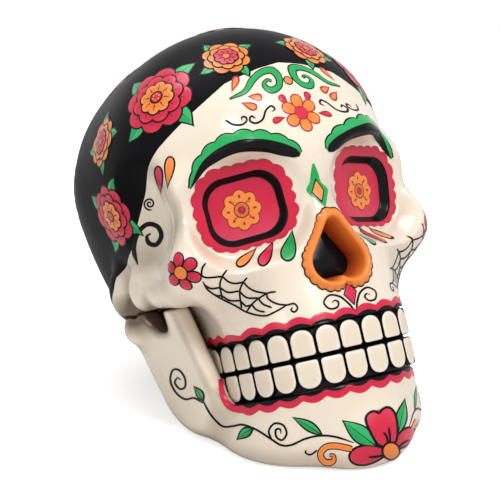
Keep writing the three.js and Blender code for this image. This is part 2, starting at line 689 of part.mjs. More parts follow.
function noseOutline(grow) {
  const whole = noseTrace[NOSE_STEPS].run;
  return Array.from({ length: NOSE_POINTS }, (_, i) => {
    const run = whole * i / NOSE_POINTS;
    const next = Math.max(noseTrace.findIndex((step) => step.run > run), 1);
    const [a, b] = [noseTrace[next - 1], noseTrace[next]];
    const share = (run - a.run) / (b.run - a.run);
    return [0, 1].map((k) => mix(a.at[k], b.at[k], share) + grow * mix(a.out[k], b.out[k], share));
  });
}

function faceY(x, z) {
  let outside = -230;
  let inside = outside;
  while (cranium(x, inside, z) > 0) {
    outside = inside;
    inside += 4;
  }
  for (let i = 0; i < 20; i++) {
    const middle = (outside + inside) / 2;
    if (cranium(x, middle, z) > 0) outside = middle;
    else inside = middle;
  }
  return inside;
}

const noseMouth = noseOutline(0).map(([x, z]) => faceY(x, z));
const noseFloor = Math.max(...noseMouth) + NOSE_DEPTH - NOSE_ROLL;

// One section of the rim: the foot of the flange on the face, the crest, then down the passage
function noseSection(i) {
  const point = (grow, depth) => {
    const [x, z] = noseOutline(grow)[i];
    const skin = faceY(x, z);
    return [x, depth(skin, skin - NOSE_ROLL), z];
  };
  return [
    point(NOSE_FLANGE, (skin) => skin + NOSE_WALL),
    point(NOSE_FLANGE, (skin) => skin - 0.8),
    point(NOSE_FLANGE * 0.75, (skin, crest) => mix(skin, crest, 0.7)),
    point(NOSE_FLANGE * 0.45, (skin, crest) => crest),
    point(NOSE_FLANGE * 0.1, (skin, crest) => crest + 1.2),
    point(-NOSE_TAPER * 0.2, (skin, crest) => crest + 6),
    point(-NOSE_TAPER, () => noseFloor),
    point(NOSE_WALL - NOSE_TAPER, () => noseFloor),
    point(NOSE_WALL, (skin) => skin + NOSE_WALL),
  ];
}

function nosePrism(grow, y0, y1) {
  const ring = (y) => noseOutline(grow).map(([x, z]) => [x, y, z]);
  return loft([ring(y0), ring(y1)]);
}

const noseHole = nosePrism(NOSE_WALL + FIT, -BIG, noseFloor + WALL);
const faceShell = cut(faceHalf, ...bothSides(eyeRecess), ...bothSides(eyeHole), noseHole);
const faceInFront = shape(faceShell).translate(0, -FIT, 0);
const noseRings = Array.from({ length: NOSE_POINTS }, (_, i) => noseSection(i));
const nasalRim = shape(cut(solid(loft(noseRings, true)), shape(faceShell), faceInFront));
const nasalBack = nosePrism(-NOSE_TAPER - FIT, noseFloor - NOSE_WALL, noseFloor);

// Jaw: solid casting with a flat lower border, trimmed at the gum and bored for the bushes

const jawGrid = [
  gridLines([[-12.5 * FINE, 12.5 * FINE, FINE]]),
  gridLines([[gridFront, HINGE_Y + 4 * FINE, FINE]]),
  gridLines([[-290, -40, FINE]]),
];
const bushRadius = BOLT_RADIUS + RUN + BUSH_WALL;
const condyleFace = HINGE_FACE + FIT + WASHER + FIT;
const condyleCut = block([0, HINGE_Y - BIG, HINGE_Z - CONDYLE_RADIUS], [condyleFace, BIG, BIG]);
const mandible = cut(solid(sculpt(jaw, ...jawGrid)), belowFloorPart(floorZ),
  ...bothSides(condyleCut),
  ...bothSides(onHinge(rod(clearOf(bushRadius + FIT), BUSH_LENGTH + FIT), condyleFace)));

// Tooth rows: a gum bar along the arch with pillow faced crowns, evenly spaced along its length

function archPoint(t) {
  const power = 2 / ARCH_POWER;
  const s = Math.sin(t * Math.PI / 2);
  const c = Math.cos(t * Math.PI / 2);
  return [Math.sign(s) * ARCH_HALF * Math.abs(s) ** power, ARCH_BACK - ARCH_REACH * Math.abs(c) ** power];
}

const ARCH_STEPS = 400;
const archLine = Array.from({ length: ARCH_STEPS + 1 }, (_, i) => archPoint(2 * i / ARCH_STEPS - 1));
const archLength = [0];
for (let i = 1; i <= ARCH_STEPS; i++) {
  archLength.push(archLength[i - 1] + Math.hypot(archLine[i][0] - archLine[i - 1][0],
    archLine[i][1] - archLine[i - 1][1]));
}
const archTotal = archLength[ARCH_STEPS];

function alongArch(distance) {
  let i = 1;
  while (i < ARCH_STEPS && archLength[i] < distance) i++;
  const [a, b] = [archLine[i - 1], archLine[i]];
  const span = archLength[i] - archLength[i - 1];
  const t = (distance - archLength[i - 1]) / span;
  return {
    x: mix(a[0], b[0], t),
    y: mix(a[1], b[1], t),
    nx: (b[1] - a[1]) / span,
    ny: -(b[0] - a[0]) / span,
  };
}

// Everything inside the arch, from its face inward, between two levels
function archPrism(grow, low, high) {
  const count = 24;
  const outline = Array.from({ length: count + 1 }, (_, i) => {
    const p = alongArch(mix(0.01, archTotal - 0.01, i / count));
    return [p.x + p.nx * grow, p.y + p.ny * grow];
  });
  const back = ARCH_BACK + GUM_BAR;
  outline.push([outline[count][0], back], [outline[0][0], back]);
  const ring = (z) => outline.map(([x, y]) => [x, y, z]);
  return loft([ring(low), ring(high)]);
}

function gumBar(low, high) {
  const count = 24;
  const rings = Array.from({ length: count + 1 }, (_, i) => {
    const p = alongArch(mix(0.01, archTotal - 0.01, i / count));
    const at = (depth, z) => [p.x - p.nx * depth, p.y - p.ny * depth, z];
    const inner = TOOTH_STANDOFF + GUM_BAR;
    return [at(TOOTH_STANDOFF, low), at(TOOTH_STANDOFF, high), at(inner, high), at(inner, low)];
  });
  return loft(rings);
}

const crownPitch = archTotal / (2 * TEETH_PER_SIDE);

// Crown outline seen from the front: square at the bite, round at the gum
function crownOutline(width, height, inset) {
  const half = width / 2 - inset;
  const round = Math.min(half, height / 2);
  const corner = half * 0.25;
  const outline = [[-half, inset + corner], [-half + corner, inset],
    [half - corner, inset], [half, inset + corner]];
  const arcSteps = 4;
  for (let i = 0; i <= arcSteps; i++) {
    const a = Math.PI * i / arcSteps;
    outline.push([half * Math.cos(a), height - inset - round + round * Math.sin(a)]);
  }
  return outline;
}

function crown(index, biteZ, gumZ) {
  const p = alongArch(crownPitch * (index + 0.5));
  const height = Math.abs(gumZ - biteZ) - BITE_RELIEF;
  const way = Math.sign(gumZ - biteZ);
  const layers = [[TOOTH_STANDOFF + 3, 0], [1.6, 0], [0, 2.6]];
  return loft(layers.map(([depth, inset]) => crownOutline(crownPitch - TOOTH_GAP, height, inset)
    .map(([u, h]) => [
      p.x - p.nx * depth - p.ny * u,
      p.y - p.ny * depth + p.nx * u,
      biteZ + way * (BITE_RELIEF + h),
    ])));
}

function toothRow(biteZ, gumZ) {
  const bar = solid(gumBar(Math.min(biteZ, gumZ), Math.max(biteZ, gumZ)));
  const crowns = Array.from({ length: 2 * TEETH_PER_SIDE },
    (_, i) => crown(i, biteZ, gumZ - Math.sign(gumZ - biteZ) * 2));
  return shape(joined(bar, ...crowns));
}

// The object

const finish = (color, roughness, metalness = 0) => new THREE.MeshStandardMaterial(
  { color, roughness, metalness });
const boneWhite = finish(0xeee3cd, 0.3);
const capBlack = finish(0x161515, 0.3);
const crimson = finish(0xc8203f, 0.3);
const orange = finish(0xee8a36, 0.3);
const steel = finish(0xb4b4b8, 0.35, 0.9);
const nylon = finish(0xe4e2da, 0.5);
const boardBlack = finish(0x242322, 0.7);
const rubber = finish(0x1c1c1c, 0.9);

const skull = new THREE.Group();
const standing = new THREE.Group();
standing.rotation.x = -tilt;
skull.add(standing);

function place(name, geometry, material) {
  geometry.computeVertexNormals();
  const mesh = new THREE.Mesh(geometry, material);
  mesh.name = name;
  standing.add(mesh);
}

function placePair(name, geometry, material) {
  place(`${name}_left`, geometry, material);
  place(`${name}_right`, mirrored(geometry), material);
}

place('face_shell', shape(faceShell), boneWhite);
place('rear_shell', shape(rearShell), capBlack);
place('mandible', shape(cut(mandible, archPrism(JAW_GAP, GUM_BOTTOM, GUM_TOP))), boneWhite);
place('upper_tooth_row', toothRow(BITE + FIT, GUM_TOP - FIT), boneWhite);
place('lower_tooth_row', toothRow(BITE - FIT, GUM_BOTTOM + FIT), boneWhite);
placePair('eye_cup', eyeCup, crimson);
place('nasal_rim', nasalRim, orange);
place('nasal_back', nasalBack, capBlack);

const boltEnd = condyleFace + BUSH_LENGTH - FIT;
const boltStart = bossInner - FIT;
placePair('hinge_bolt', onHinge(revolve([[0, -BOLT_HEAD], [BOLT_HEAD_RADIUS, -BOLT_HEAD],
  [BOLT_HEAD_RADIUS, 0], [BOLT_RADIUS, 0], [BOLT_RADIUS, boltEnd - boltStart],
  [0, boltEnd - boltStart]]), boltStart), steel);

function tube(inner, outer, length) {
  return revolve([[inner, 0], [outer, 0], [outer, length], [inner, length], [inner, 0]]);
}

placePair('hinge_washer', onHinge(tube(boltHole, BOSS_RADIUS - 1, WASHER), HINGE_FACE + FIT), nylon);
placePair('hinge_bush', onHinge(tube(boltHole, bushRadius, BUSH_LENGTH), condyleFace), nylon);

const plate = cut(solid(ovalPrism(FOOT_HALF_X - PLATE_INSET, FOOT_HALF_Y - PLATE_INSET,
  plateBottom, plateBottom + PLATE)), ...screwHoles);
place('base_plate', shape(plate), boardBlack);
screwSpots.forEach((spot, i) => {
  const screw = revolve([[0, -SCREW_HEAD], [SCREW_HEAD_RADIUS, -SCREW_HEAD], [SCREW_HEAD_RADIUS, 0],
    [SCREW_RADIUS, 0], [SCREW_RADIUS, SCREW_LENGTH], [0, SCREW_LENGTH]], 10);
  place(`base_screw_${i + 1}`, upright(screw, spot, plateBottom - FIT), steel);
});
padSpots.forEach((spot, i) => {
  place(`foot_pad_${i + 1}`, upright(rod(PAD_RADIUS, PAD), spot, floorZ), rubber);
});

// Origin on the floor, under the middle of the whole
skull.updateMatrixWorld(true);
const box = new THREE.Box3().setFromObject(skull, true);
skull.position.set(-(box.min.x + box.max.x) / 2, -(box.min.y + box.max.y) / 2, -box.min.z);
skull.updateMatrixWorld(true);

export default skull;
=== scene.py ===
import json
import math

import bmesh
import bpy
import numpy as np
from mathutils import Matrix, Vector
from mathutils.bvhtree import BVHTree


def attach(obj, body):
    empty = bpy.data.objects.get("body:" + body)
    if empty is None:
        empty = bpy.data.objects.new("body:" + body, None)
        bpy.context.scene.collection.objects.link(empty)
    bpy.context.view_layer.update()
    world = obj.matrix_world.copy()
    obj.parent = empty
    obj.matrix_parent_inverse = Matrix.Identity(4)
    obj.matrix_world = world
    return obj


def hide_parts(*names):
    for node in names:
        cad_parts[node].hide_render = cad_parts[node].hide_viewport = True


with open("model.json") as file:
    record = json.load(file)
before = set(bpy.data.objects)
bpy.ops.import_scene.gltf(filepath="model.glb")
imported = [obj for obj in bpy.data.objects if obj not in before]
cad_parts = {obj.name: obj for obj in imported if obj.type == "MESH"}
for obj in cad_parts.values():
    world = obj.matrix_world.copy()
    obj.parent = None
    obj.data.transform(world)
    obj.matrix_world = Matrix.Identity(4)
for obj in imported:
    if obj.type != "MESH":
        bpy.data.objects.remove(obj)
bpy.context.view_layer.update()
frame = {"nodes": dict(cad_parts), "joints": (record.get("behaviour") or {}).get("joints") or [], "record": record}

print("frame loaded:", len(frame["nodes"]), "nodes")

# The skull is drawn level in millimetres, x to its left, y to the back and z up, and stands tipped back.
stance = {"tilt": 22.0, "eyeHeight": 169.0, "hinge": (0.0, 13.0, -80.0)}
metres = 0.001
tiny = 1e-9
tilt = math.radians(stance["tilt"])
floorZ = -stance["eyeHeight"]
levelToRow = np.array([[1, 0, 0], [0, math.cos(tilt), math.sin(tilt)], [0, -math.sin(tilt), math.cos(tilt)]])
rowShift = np.array(frame["joints"][0]["pos_m"]) / metres - levelToRow @ np.array(stance["hinge"])
standing = Matrix.Translation(Vector(rowShift * metres)) @ Matrix((levelToRow * metres).tolist()).to_4x4()


def toRow(points):
    return (np.asarray(points, float) @ levelToRow.T + rowShift) * metres


def unit(vectors):
    return vectors / (np.linalg.norm(vectors, axis=-1, keepdims=True) + 1e-12)


def lengthsAlong(line):
    return np.concatenate([[0], np.cumsum(np.linalg.norm(np.diff(line, axis=0), axis=1))])


def atLengths(wanted, lengths, line):
    return np.stack([np.interp(wanted, lengths, line[:, i]) for i in (0, 1)], -1)


# Distances and blends


def smoothMin(a, b, k):
    h = np.maximum(k - np.abs(a - b), 0) / k
    return np.minimum(a, b) - h * h * k / 4


def smoothMax(a, b, k):
    return -smoothMin(-a, -b, k)


def easing(t):
    t = np.clip(t, 0, 1)
    return t * t * (3 - 2 * t)


def oval(x, y, z, bone):
    at, half = bone["at"], bone["half"]
    u, v, w = (x - at[0]) / half[0], (y - at[1]) / half[1], (z - at[2]) / half[2]
    reach = np.sqrt(u * u + v * v + w * w)
    slope = np.sqrt((u / half[0]) ** 2 + (v / half[1]) ** 2 + (w / half[2]) ** 2)
    return reach * (reach - 1) / (slope + tiny)


def limb(x, y, z, bone):
    tall = bone.get("tall", 1)
    start, end = np.array(bone["from"], float), np.array(bone["to"], float)
    way = end - start
    way[2] /= tall
    px, py, pz = x - start[0], y - start[1], (z - start[2]) / tall
    t = np.clip((px * way[0] + py * way[1] + pz * way[2]) / (way @ way), 0, 1)
    gap = np.sqrt((px - t * way[0]) ** 2 + (py - t * way[1]) ** 2 + (pz - t * way[2]) ** 2)
    return gap - (bone["r0"] + (bone["r1"] - bone["r0"]) * t)


def strip(y, z, bone):
    a, b = bone["from"], bone["to"]
    u, v = b[0] - a[0], b[1] - a[1]
    t = np.clip(((y - a[0]) * u + (z - a[1]) * v) / (u * u + v * v), 0, 1)
    gap = np.sqrt((y - a[0] - t * u) ** 2 + (z - a[1] - t * v) ** 2)
    return gap - (bone["r0"] + (bone["r1"] - bone["r0"]) * t)


def roundedBox(u, v, a, b, r):
    p, q = np.abs(u) - (a - r), np.abs(v) - (b - r)
    return np.sqrt(np.maximum(p, 0) ** 2 + np.maximum(q, 0) ** 2) + np.minimum(np.maximum(p, q), 0) - r


# Dental arch, shared by the upper jaw, the lower jaw and both tooth rows
arch = {"half": 88, "reach": 131, "back": -50, "power": 2.95, "gumTop": -112, "bite": -139.3,
        "gumBottom": -167.5, "teeth": 8, "gap": 1.5, "standoff": 5, "bar": 17, "barRound": 1.5, "relief": 1.4}


def archWall(x, y, half, reach, power):
    u, v = np.abs(x) / half, np.maximum(arch["back"] - y, 0) / reach
    g = (u ** power + v ** power) ** (1 / power) + tiny
    slope = np.sqrt(((u / g) ** (power - 1) / half) ** 2 + ((v / g) ** (power - 1) / reach) ** 2)
    return (g - 1) / (slope + tiny)


# Eye sockets: the plane of the rim, and the rounded box of the cup in it
eye = {"at": (66, -141, 2.3), "yaw": 19, "pitch": -6, "roll": -4, "halfWidth": 37.2, "halfHeight": 31.3,
       "corner": 22, "depth": 7.6, "slope": 5.2, "dish": 1.6, "flat": 7, "ease": 17, "behind": -45,
       "behindEase": 20, "hole": 2, "holeBelow": 4, "holeRound": 1}
eyeTurn = Matrix.Rotation(math.radians(eye["yaw"]), 3, "Z")
eyeOut = eyeTurn @ Matrix.Rotation(-math.radians(eye["pitch"]), 3, "X") @ Vector((0, -1, 0))
eyeAcross = Matrix.Rotation(math.radians(eye["roll"]), 3, eyeOut) @ eyeTurn @ Vector((1, 0, 0))
eyeUp = eyeOut.cross(eyeAcross)


def eyeAxes(x, y, z):
    p = [x - eye["at"][0], y - eye["at"][1], z - eye["at"][2]]
    return [sum(p[i] * axis[i] for i in range(3)) for axis in (eyeAcross, eyeUp, eyeOut)]


def eyeBox(u, v, grow):
    return roundedBox(u, v, eye["halfWidth"] + grow, eye["halfHeight"] + grow, eye["corner"] + grow)


def cupFloor(p):
    u, v, out = eyeAxes(np.abs(p[..., 0]), p[..., 1], p[..., 2])
    a, b = eye["halfWidth"] - eye["slope"], eye["halfHeight"] - eye["slope"]
    return out + eye["depth"] + eye["dish"] * np.maximum(0, 1 - (u / a) ** 2 - (v / b) ** 2)


# Nose: a line drawn tight round one disc above and two below
nose = {"top": -21, "bottom": -78, "topRadius": 8, "sideRadius": 17, "halfWidth": 27.5, "depth": 25, "taper": 5,
        "flange": 8.5, "roll": 4.5, "behind": 140, "hole": 1, "holeRound": 1}
noseSide = nose["halfWidth"] - nose["sideRadius"]
noseLow = nose["bottom"] + nose["sideRadius"]
noseDiscs = np.array([(0, nose["top"] - nose["topRadius"], nose["topRadius"]),
                      (noseSide, noseLow, nose["sideRadius"]), (-noseSide, noseLow, nose["sideRadius"])])


def noseGap(x, z):
    gap = np.full(np.shape(x), -1e3)
    for turn in np.radians(np.linspace(-90, 90, 19)):
        c, s = math.cos(turn), math.sin(turn)
        gap = np.maximum(gap, np.abs(x) * c + z * s - (noseDiscs @ (c, s, 1)).max())
    return gap


# Cranium
vault = {"at": (0, 23, 52), "half": (141, 146, 136)}
craniumBones = [
    {"shape": oval, "at": (0, -56, 60), "half": (140, 107, 125), "blend": 40},  # forehead
    {"shape": oval, "at": (0, -20, -15), "half": (122, 110, 66), "blend": 30},  # temple wall
    {"shape": oval, "at": (0, 71, -25), "half": (103, 88, 106), "blend": 40},  # nape
    {"shape": limb, "from": (0, -141, 44), "to": (56, -141, 47), "r0": 17, "r1": 17, "blend": 34},  # inner brow
    {"shape": limb, "from": (56, -141, 47), "to": (106, -110, 26), "r0": 17, "r1": 17,
     "blend": 34},  # outer brow
    {"shape": limb, "from": (106, -110, 26), "to": (108, -106, -30), "r0": 17, "r1": 22,
     "blend": 26},  # side rim
    {"shape": oval, "at": (0, -90, -36), "half": (116, 64, 56), "blend": 30},  # mid face
    {"shape": oval, "at": (101, -109, -34), "half": (38, 38, 30), "blend": 30},  # cheek
    {"shape": limb, "from": (90, -112, -56), "to": (74, -110, -94), "r0": 15, "r1": 13,
     "blend": 26},  # buttress
    {"shape": limb, "from": (124, -84, -46), "to": (127, -26, -46), "r0": 15, "r1": 13, "blend": 16,
     "tall": 1.5},  # cheek arch
    {"shape": oval, "at": (116, 15, -42), "half": (24, 28, 32), "blend": 9},  # ear lobe
]
bridge = {"from": (0, -142, 40), "to": (0, -145, -14), "r0": 16, "r1": 19, "blend": 24}
bossRoot = {"from": (70, 13, -62), "to": (84, 13, -80), "r0": 16, "r1": 14, "blend": 14}
templeHollow = {"at": (150, -84, 8), "half": (32, 34, 46), "blend": 26}
maxilla = {"top": -20, "back": -20, "leanTop": -50, "lean": 70, "halfLoss": 1, "reachLoss": 14, "round": 20,
           "blend": 30, "under": 18.6}
foot = {"y": 60, "halfX": 66, "halfY": 54, "ring": 22, "lift": 8.6, "edge": 3, "blend": 20}
hinge = {"y": 13, "z": -80, "face": 97, "condyle": 14, "gap": 2, "boss": 13, "bossDepth": 24, "bossBlend": 3,
         "pocket": 11, "pocketDepth": 24}
seam = {"y": 52, "palateBack": 36, "palateRound": 2}


def alongFloor(y, z):
    return y * math.cos(tilt) + z * math.sin(tilt)


def heightUpright(y, z):
    return z * math.cos(tilt) - y * math.sin(tilt)


def footStub(x, y, z):
    u, v = x / foot["halfX"], (alongFloor(y, z) - foot["y"]) / foot["halfY"]
    reach = np.hypot(u, v)
    side = reach * (reach - 1) / (np.hypot(u / foot["halfX"], v / foot["halfY"]) + tiny)
    height = heightUpright(y, z) - floorZ
    return np.maximum(side, np.maximum(height - foot["ring"] * 3, -height - foot["ring"]))


def craniumBone(x, y, z):
    d = oval(x, y, z, vault)
    for bone in craniumBones:
        d = smoothMin(d, bone["shape"](x, y, z, bone), bone["blend"])
    down = np.clip((maxilla["leanTop"] - z) / maxilla["lean"], 0, 1)
    upper = archWall(x, y, arch["half"] - maxilla["halfLoss"] * (1 - down),
                     arch["reach"] - maxilla["reachLoss"] * (1 - down), arch["power"])
    ends = np.maximum(z - maxilla["top"], arch["gumTop"] - maxilla["under"] - z)
    upper = smoothMax(upper, ends, maxilla["round"])
    upper = smoothMax(upper, y - maxilla["back"], maxilla["round"])
    d = smoothMin(d, upper, maxilla["blend"])
    d = smoothMin(d, footStub(x, y, z), foot["blend"])
    d = smoothMin(d, limb(x, y, z, bridge), bridge["blend"])
    d = smoothMin(d, limb(x, y, z, bossRoot), bossRoot["blend"])
    d = smoothMax(d, -oval(x, y, z, templeHollow), templeHollow["blend"])
    radial = np.hypot(y - hinge["y"], z - hinge["z"])
    d = np.maximum(d, -np.maximum(radial - hinge["condyle"] - hinge["gap"], hinge["face"] - x))
    u, v, out = eyeAxes(x, y, z)  # the bone eases into the plane of the eye rim
    share = easing(1 - (eyeBox(u, v, 0) - eye["flat"]) / eye["ease"])
    share = share * easing((out - eye["behind"]) / eye["behindEase"])
    return d + (out - d) * share


def craniumSkin(p):
    return craniumBone(np.abs(p[..., 0]), p[..., 1], p[..., 2])


# The skin with everything cut out of it that another piece fills
def craniumShell(p):
    x, y, z = np.abs(p[..., 0]), p[..., 1], p[..., 2]
    d = craniumBone(x, y, z)
    radial = np.hypot(y - hinge["y"], z - hinge["z"])
    middle = hinge["face"] - hinge["bossDepth"] / 2
    boss = np.maximum(radial - hinge["boss"], np.abs(x - middle) - hinge["bossDepth"] / 2)
    d = smoothMin(d, boss, hinge["bossBlend"])
    inner = hinge["face"] - hinge["bossDepth"]
    pocket = np.maximum(radial - hinge["pocket"], np.maximum(x - inner, inner - hinge["pocketDepth"] - x))
    d = np.maximum(d, -pocket)
    u, v, out = eyeAxes(x, y, z)
    socket = np.maximum(eyeBox(u, v, eye["hole"]), -out - eye["depth"] - eye["holeBelow"])
    d = smoothMax(d, -socket, eye["holeRound"])
    d = smoothMax(d, -np.maximum(noseGap(x, z) - nose["hole"], y + nose["behind"]), nose["holeRound"])
    palate = np.where(y < seam["palateBack"], arch["gumTop"] - z, -200)
    d = smoothMax(d, palate, seam["palateRound"])
    return smoothMax(d, floorZ + foot["lift"] - heightUpright(y, z), foot["edge"])


# Jaw
jaw = {"thick": 32, "round": 36, "innerRound": 12, "gumLap": 0.3, "gumRound": 6, "backRound": 30, "edge": 3,
       "under": 8, "radius": 417, "lowest": -140,
       "flareTop": -160, "flareRun": 60, "flareMost": 1.3, "side": 2, "sideFlare": 17, "front": 2,
       "frontFlare": 9, "power": 2.5, "powerLoss": 0.45,
       "ramusHalf": 11, "ramusX": 97, "ramusZ": -150, "ramusSplay": 0.22, "ramusRound": 10, "ramusBlend": 30,
       "hornBlend": 16, "plateBlend": 20, "condyleBlend": 14, "innerFace": 99.1,
       "opening": math.radians(15), "openGap": 0.8, "openAhead": 3, "openBelow": 24,
       "chin": {"at": (0, -154, -217), "half": (32, 24, 22), "blend": 34},
       "branch": {"from": (9, -84), "to": (-6, -148), "r0": 24, "r1": 31},
       "frontHorn": {"from": (-59, -76), "to": (-55, -146), "r0": 12, "r1": 20},
       "plate": {"from": (-28, -118), "to": (-34, -150), "r0": 30, "r1": 29},
       "condyle": {"from": (108, 13, -80), "to": (122, 13, -80), "r0": 14, "r1": 13}}


# The cranium as the jaw meets it when it is fully open
def openedBone(x, y, z):
    along, up = y - hinge["y"], z - hinge["z"]
    c, s = math.cos(jaw["opening"]), math.sin(jaw["opening"])
    return craniumBone(x, hinge["y"] + along * c - up * s, hinge["z"] + along * s + up * c)


def jawSkin(p):
    x, y, z = np.abs(p[..., 0]), p[..., 1], p[..., 2]
    height = heightUpright(y, z)
    rocker = floorZ - jaw["under"] + (alongFloor(y, z) - jaw["lowest"]) ** 2 / (2 * jaw["radius"])
    down = np.clip((jaw["flareTop"] - z) / jaw["flareRun"], 0, jaw["flareMost"])
    outer = archWall(x, y, arch["half"] + jaw["side"] + jaw["sideFlare"] * down,
                     arch["reach"] - jaw["front"] - jaw["frontFlare"] * down,
                     jaw["power"] - jaw["powerLoss"] * down)
    d = smoothMax(outer, rocker - height, jaw["round"])
    d = smoothMax(d, -(outer + jaw["thick"]), jaw["innerRound"])
    d = smoothMax(d, z - arch["gumBottom"] - jaw["gumLap"], jaw["gumRound"])
    d = smoothMax(d, y, jaw["backRound"])
    d = smoothMin(d, oval(x, y, z, jaw["chin"]), jaw["chin"]["blend"])
    branch = smoothMin(strip(y, z, jaw["branch"]), strip(y, z, jaw["frontHorn"]), jaw["hornBlend"])
    branch = smoothMin(branch, strip(y, z, jaw["plate"]), jaw["plateBlend"])
    middle = jaw["ramusX"] + (z - jaw["ramusZ"]) * jaw["ramusSplay"]
    ramus = smoothMax(branch, np.abs(x - middle) - jaw["ramusHalf"], jaw["ramusRound"])
    d = smoothMin(d, ramus, jaw["ramusBlend"])
    d = smoothMin(d, limb(x, y, z, jaw["condyle"]), jaw["condyleBlend"])
    d = np.maximum(d, hinge["gap"] - craniumBone(x, y, z))
    behind = (y > hinge["y"] - jaw["openAhead"]) & (z > hinge["z"] - jaw["openBelow"])
    if behind.any():  # the back of the branch clears the ear lobe
        d[behind] = np.maximum(d[behind], jaw["openGap"] - openedBone(x[behind], y[behind], z[behind]))
    row = archWall(x, y, arch["half"] + hinge["gap"], arch["reach"] + hinge["gap"], arch["power"])
    row = np.maximum(row, np.maximum(arch["gumBottom"] - z, z - arch["gumTop"]))
    row = np.maximum(row, y - arch["back"] - arch["bar"])
    d = np.maximum(d, -row)
    d = np.maximum(d, -np.maximum(x - jaw["innerFace"], hinge["z"] - hinge["condyle"] - z))
    return smoothMax(d, floorZ - height, jaw["edge"])


skin = {"cranium": craniumSkin, "jaw": jawSkin, "cup": cupFloor}
skinBody = {"cranium": "cranium", "jaw": "jaw", "cup": "cranium"}


def slopeOf(field, p, step=0.4):
    return np.stack([field(p + axis) - field(p - axis) for axis in np.eye(3) * step], -1) / (2 * step)


# Slides points down the slope of a field onto its zero surface
def settle(field, p, rounds=4, reach=None):
    start = p
    for _ in range(rounds):
        slope = slopeOf(field, p)
        p = p - (field(p) / (np.sum(slope * slope, -1) + tiny))[..., None] * slope
        if reach:
            p = start + np.clip(p - start, -reach, reach)
    return p


# One point in every cell that the surface crosses, one quad for every crossed grid edge
def skinMesh(field, low, high, cell):
    low = np.array(low, float)
    count = np.ceil((np.array(high) - low) / cell).astype(int) + 1
    axes = [low[i] + cell * np.arange(count[i]) for i in range(3)]
    grid = np.stack(np.meshgrid(axes[0][:1], axes[1], axes[2], indexing="ij"), -1)[0]
    value = np.empty(count)
    for i, x in enumerate(axes[0]):
        grid[..., 0] = x
        value[i] = field(grid)
    inside = value < 0
    corners = [(i, j, k) for i in (0, 1) for j in (0, 1) for k in (0, 1)]
    size = count - 1
    filled = sum(inside[i:i + size[0], j:j + size[1], k:k + size[2]].astype(np.int8) for i, j, k in corners)
    cells = np.argwhere((filled > 0) & (filled < 8))
    number = np.full(size, -1)
    number[tuple(cells.T)] = np.arange(len(cells))
    total, hits = np.zeros((len(cells), 3)), np.zeros(len(cells))
    for axis in range(3):
        for corner in corners:
            if corner[axis]:
                continue
            a = cells + corner
            b = a.copy()
            b[:, axis] += 1
            va, vb = value[tuple(a.T)], value[tuple(b.T)]
            crossed = (va < 0) != (vb < 0)
            at = a[crossed].astype(float)
            at[:, axis] += va[crossed] / (va[crossed] - vb[crossed])
            total[crossed] += at
            hits[crossed] += 1
    points = settle(field, low + cell * total / hits[:, None], 3, cell * 0.45)
    quads = []
    for axis in range(3):
        p, q = (axis + 1) % 3, (axis + 2) % 3
        start, end = [slice(1, None)] * 3, [slice(1, None)] * 3
        start[axis] = slice(0, -1)
        at = np.argwhere(inside[tuple(start)] != inside[tuple(end)]) + 1
        at[:, axis] -= 1
        at = at[np.all((at[:, [p, q]] >= 1) & (at[:, [p, q]] < size[[p, q]]), axis=1)]
        ring = []
        for i, j in ((1, 1), (0, 1), (0, 0), (1, 0)):
            around = at.copy()
            around[:, p] -= i
            around[:, q] -= j
            ring.append(number[tuple(around.T)])
        ring = np.stack(ring, 1)
        flip = ~inside[tuple(at.T)]
        ring[flip] = ring[flip][:, ::-1]
        quads.append(ring)
    return points, np.concatenate(quads)


# Cuts every face along the line where value is zero, and says on which side each new triangle lies
def splitFaces(points, faces, value):
    triangles = np.concatenate([faces[:, [0, 1, 2]], faces[:, [0, 2, 3]]]) if faces.shape[1] == 4 else faces
    value = np.where(np.abs(value) < 1e-6, 1e-6, value)
    sign = value[triangles] > 0
    mixed = sign.any(1) & ~sign.all(1)
    kept, keptSide = triangles[~mixed], sign[~mixed][:, 0]
    extra, extraSide, new, made = [], [], [], {}

    def crossing(a, b):
        key = (min(a, b), max(a, b))
        if key not in made:
            t = value[a] / (value[a] - value[b])
            made[key] = len(points) + len(new)
            new.append(points[a] + t * (points[b] - points[a]))
        return made[key]

    for triangle, side in zip(triangles[mixed], sign[mixed]):
        lone = [i for i in range(3) if (side == side[i]).sum() == 1][0]
        a, b, c = triangle[lone], triangle[(lone + 1) % 3], triangle[(lone + 2) % 3]
        ab, ac = crossing(a, b), crossing(a, c)
        extra += [(a, ab, ac), (ab, b, c), (ab, c, ac)]
        extraSide += [side[lone], not side[lone], not side[lone]]
    if new:
        points = np.concatenate([points, np.array(new)])
        kept = np.concatenate([kept, np.array(extra)])
        keptSide = np.concatenate([keptSide, np.array(extraSide)])
    return points, kept, keptSide


# Materials


def srgb(text):
    values = [int(text[i:i + 2], 16) / 255 for i in (0, 2, 4)]
    return tuple(v / 12.92 if v <= 0.04045 else ((v + 0.055) / 1.055) ** 2.4 for v in values) + (1.0,)


# A node with values on its own sockets, wires between sockets, and a material with values on its shader
def addNode(tree, kind, values=None, operation=None):
    node = tree.nodes.new(kind)
    if operation:
        node.operation = operation
    for socket, value in (values or {}).items():
        node.inputs[socket].default_value = value
    return node


def wire(tree, *runs):
    for start, output, end, entry in runs:
        tree.links.new(start.outputs[output], end.inputs[entry])


def freshMaterial(name, values):
    material = bpy.data.materials.new(name)
    material.use_nodes = True
    shader = material.node_tree.nodes["Principled BSDF"]
    for socket, value in values.items():
        shader.inputs[socket].default_value = value
    return material, material.node_tree, shader


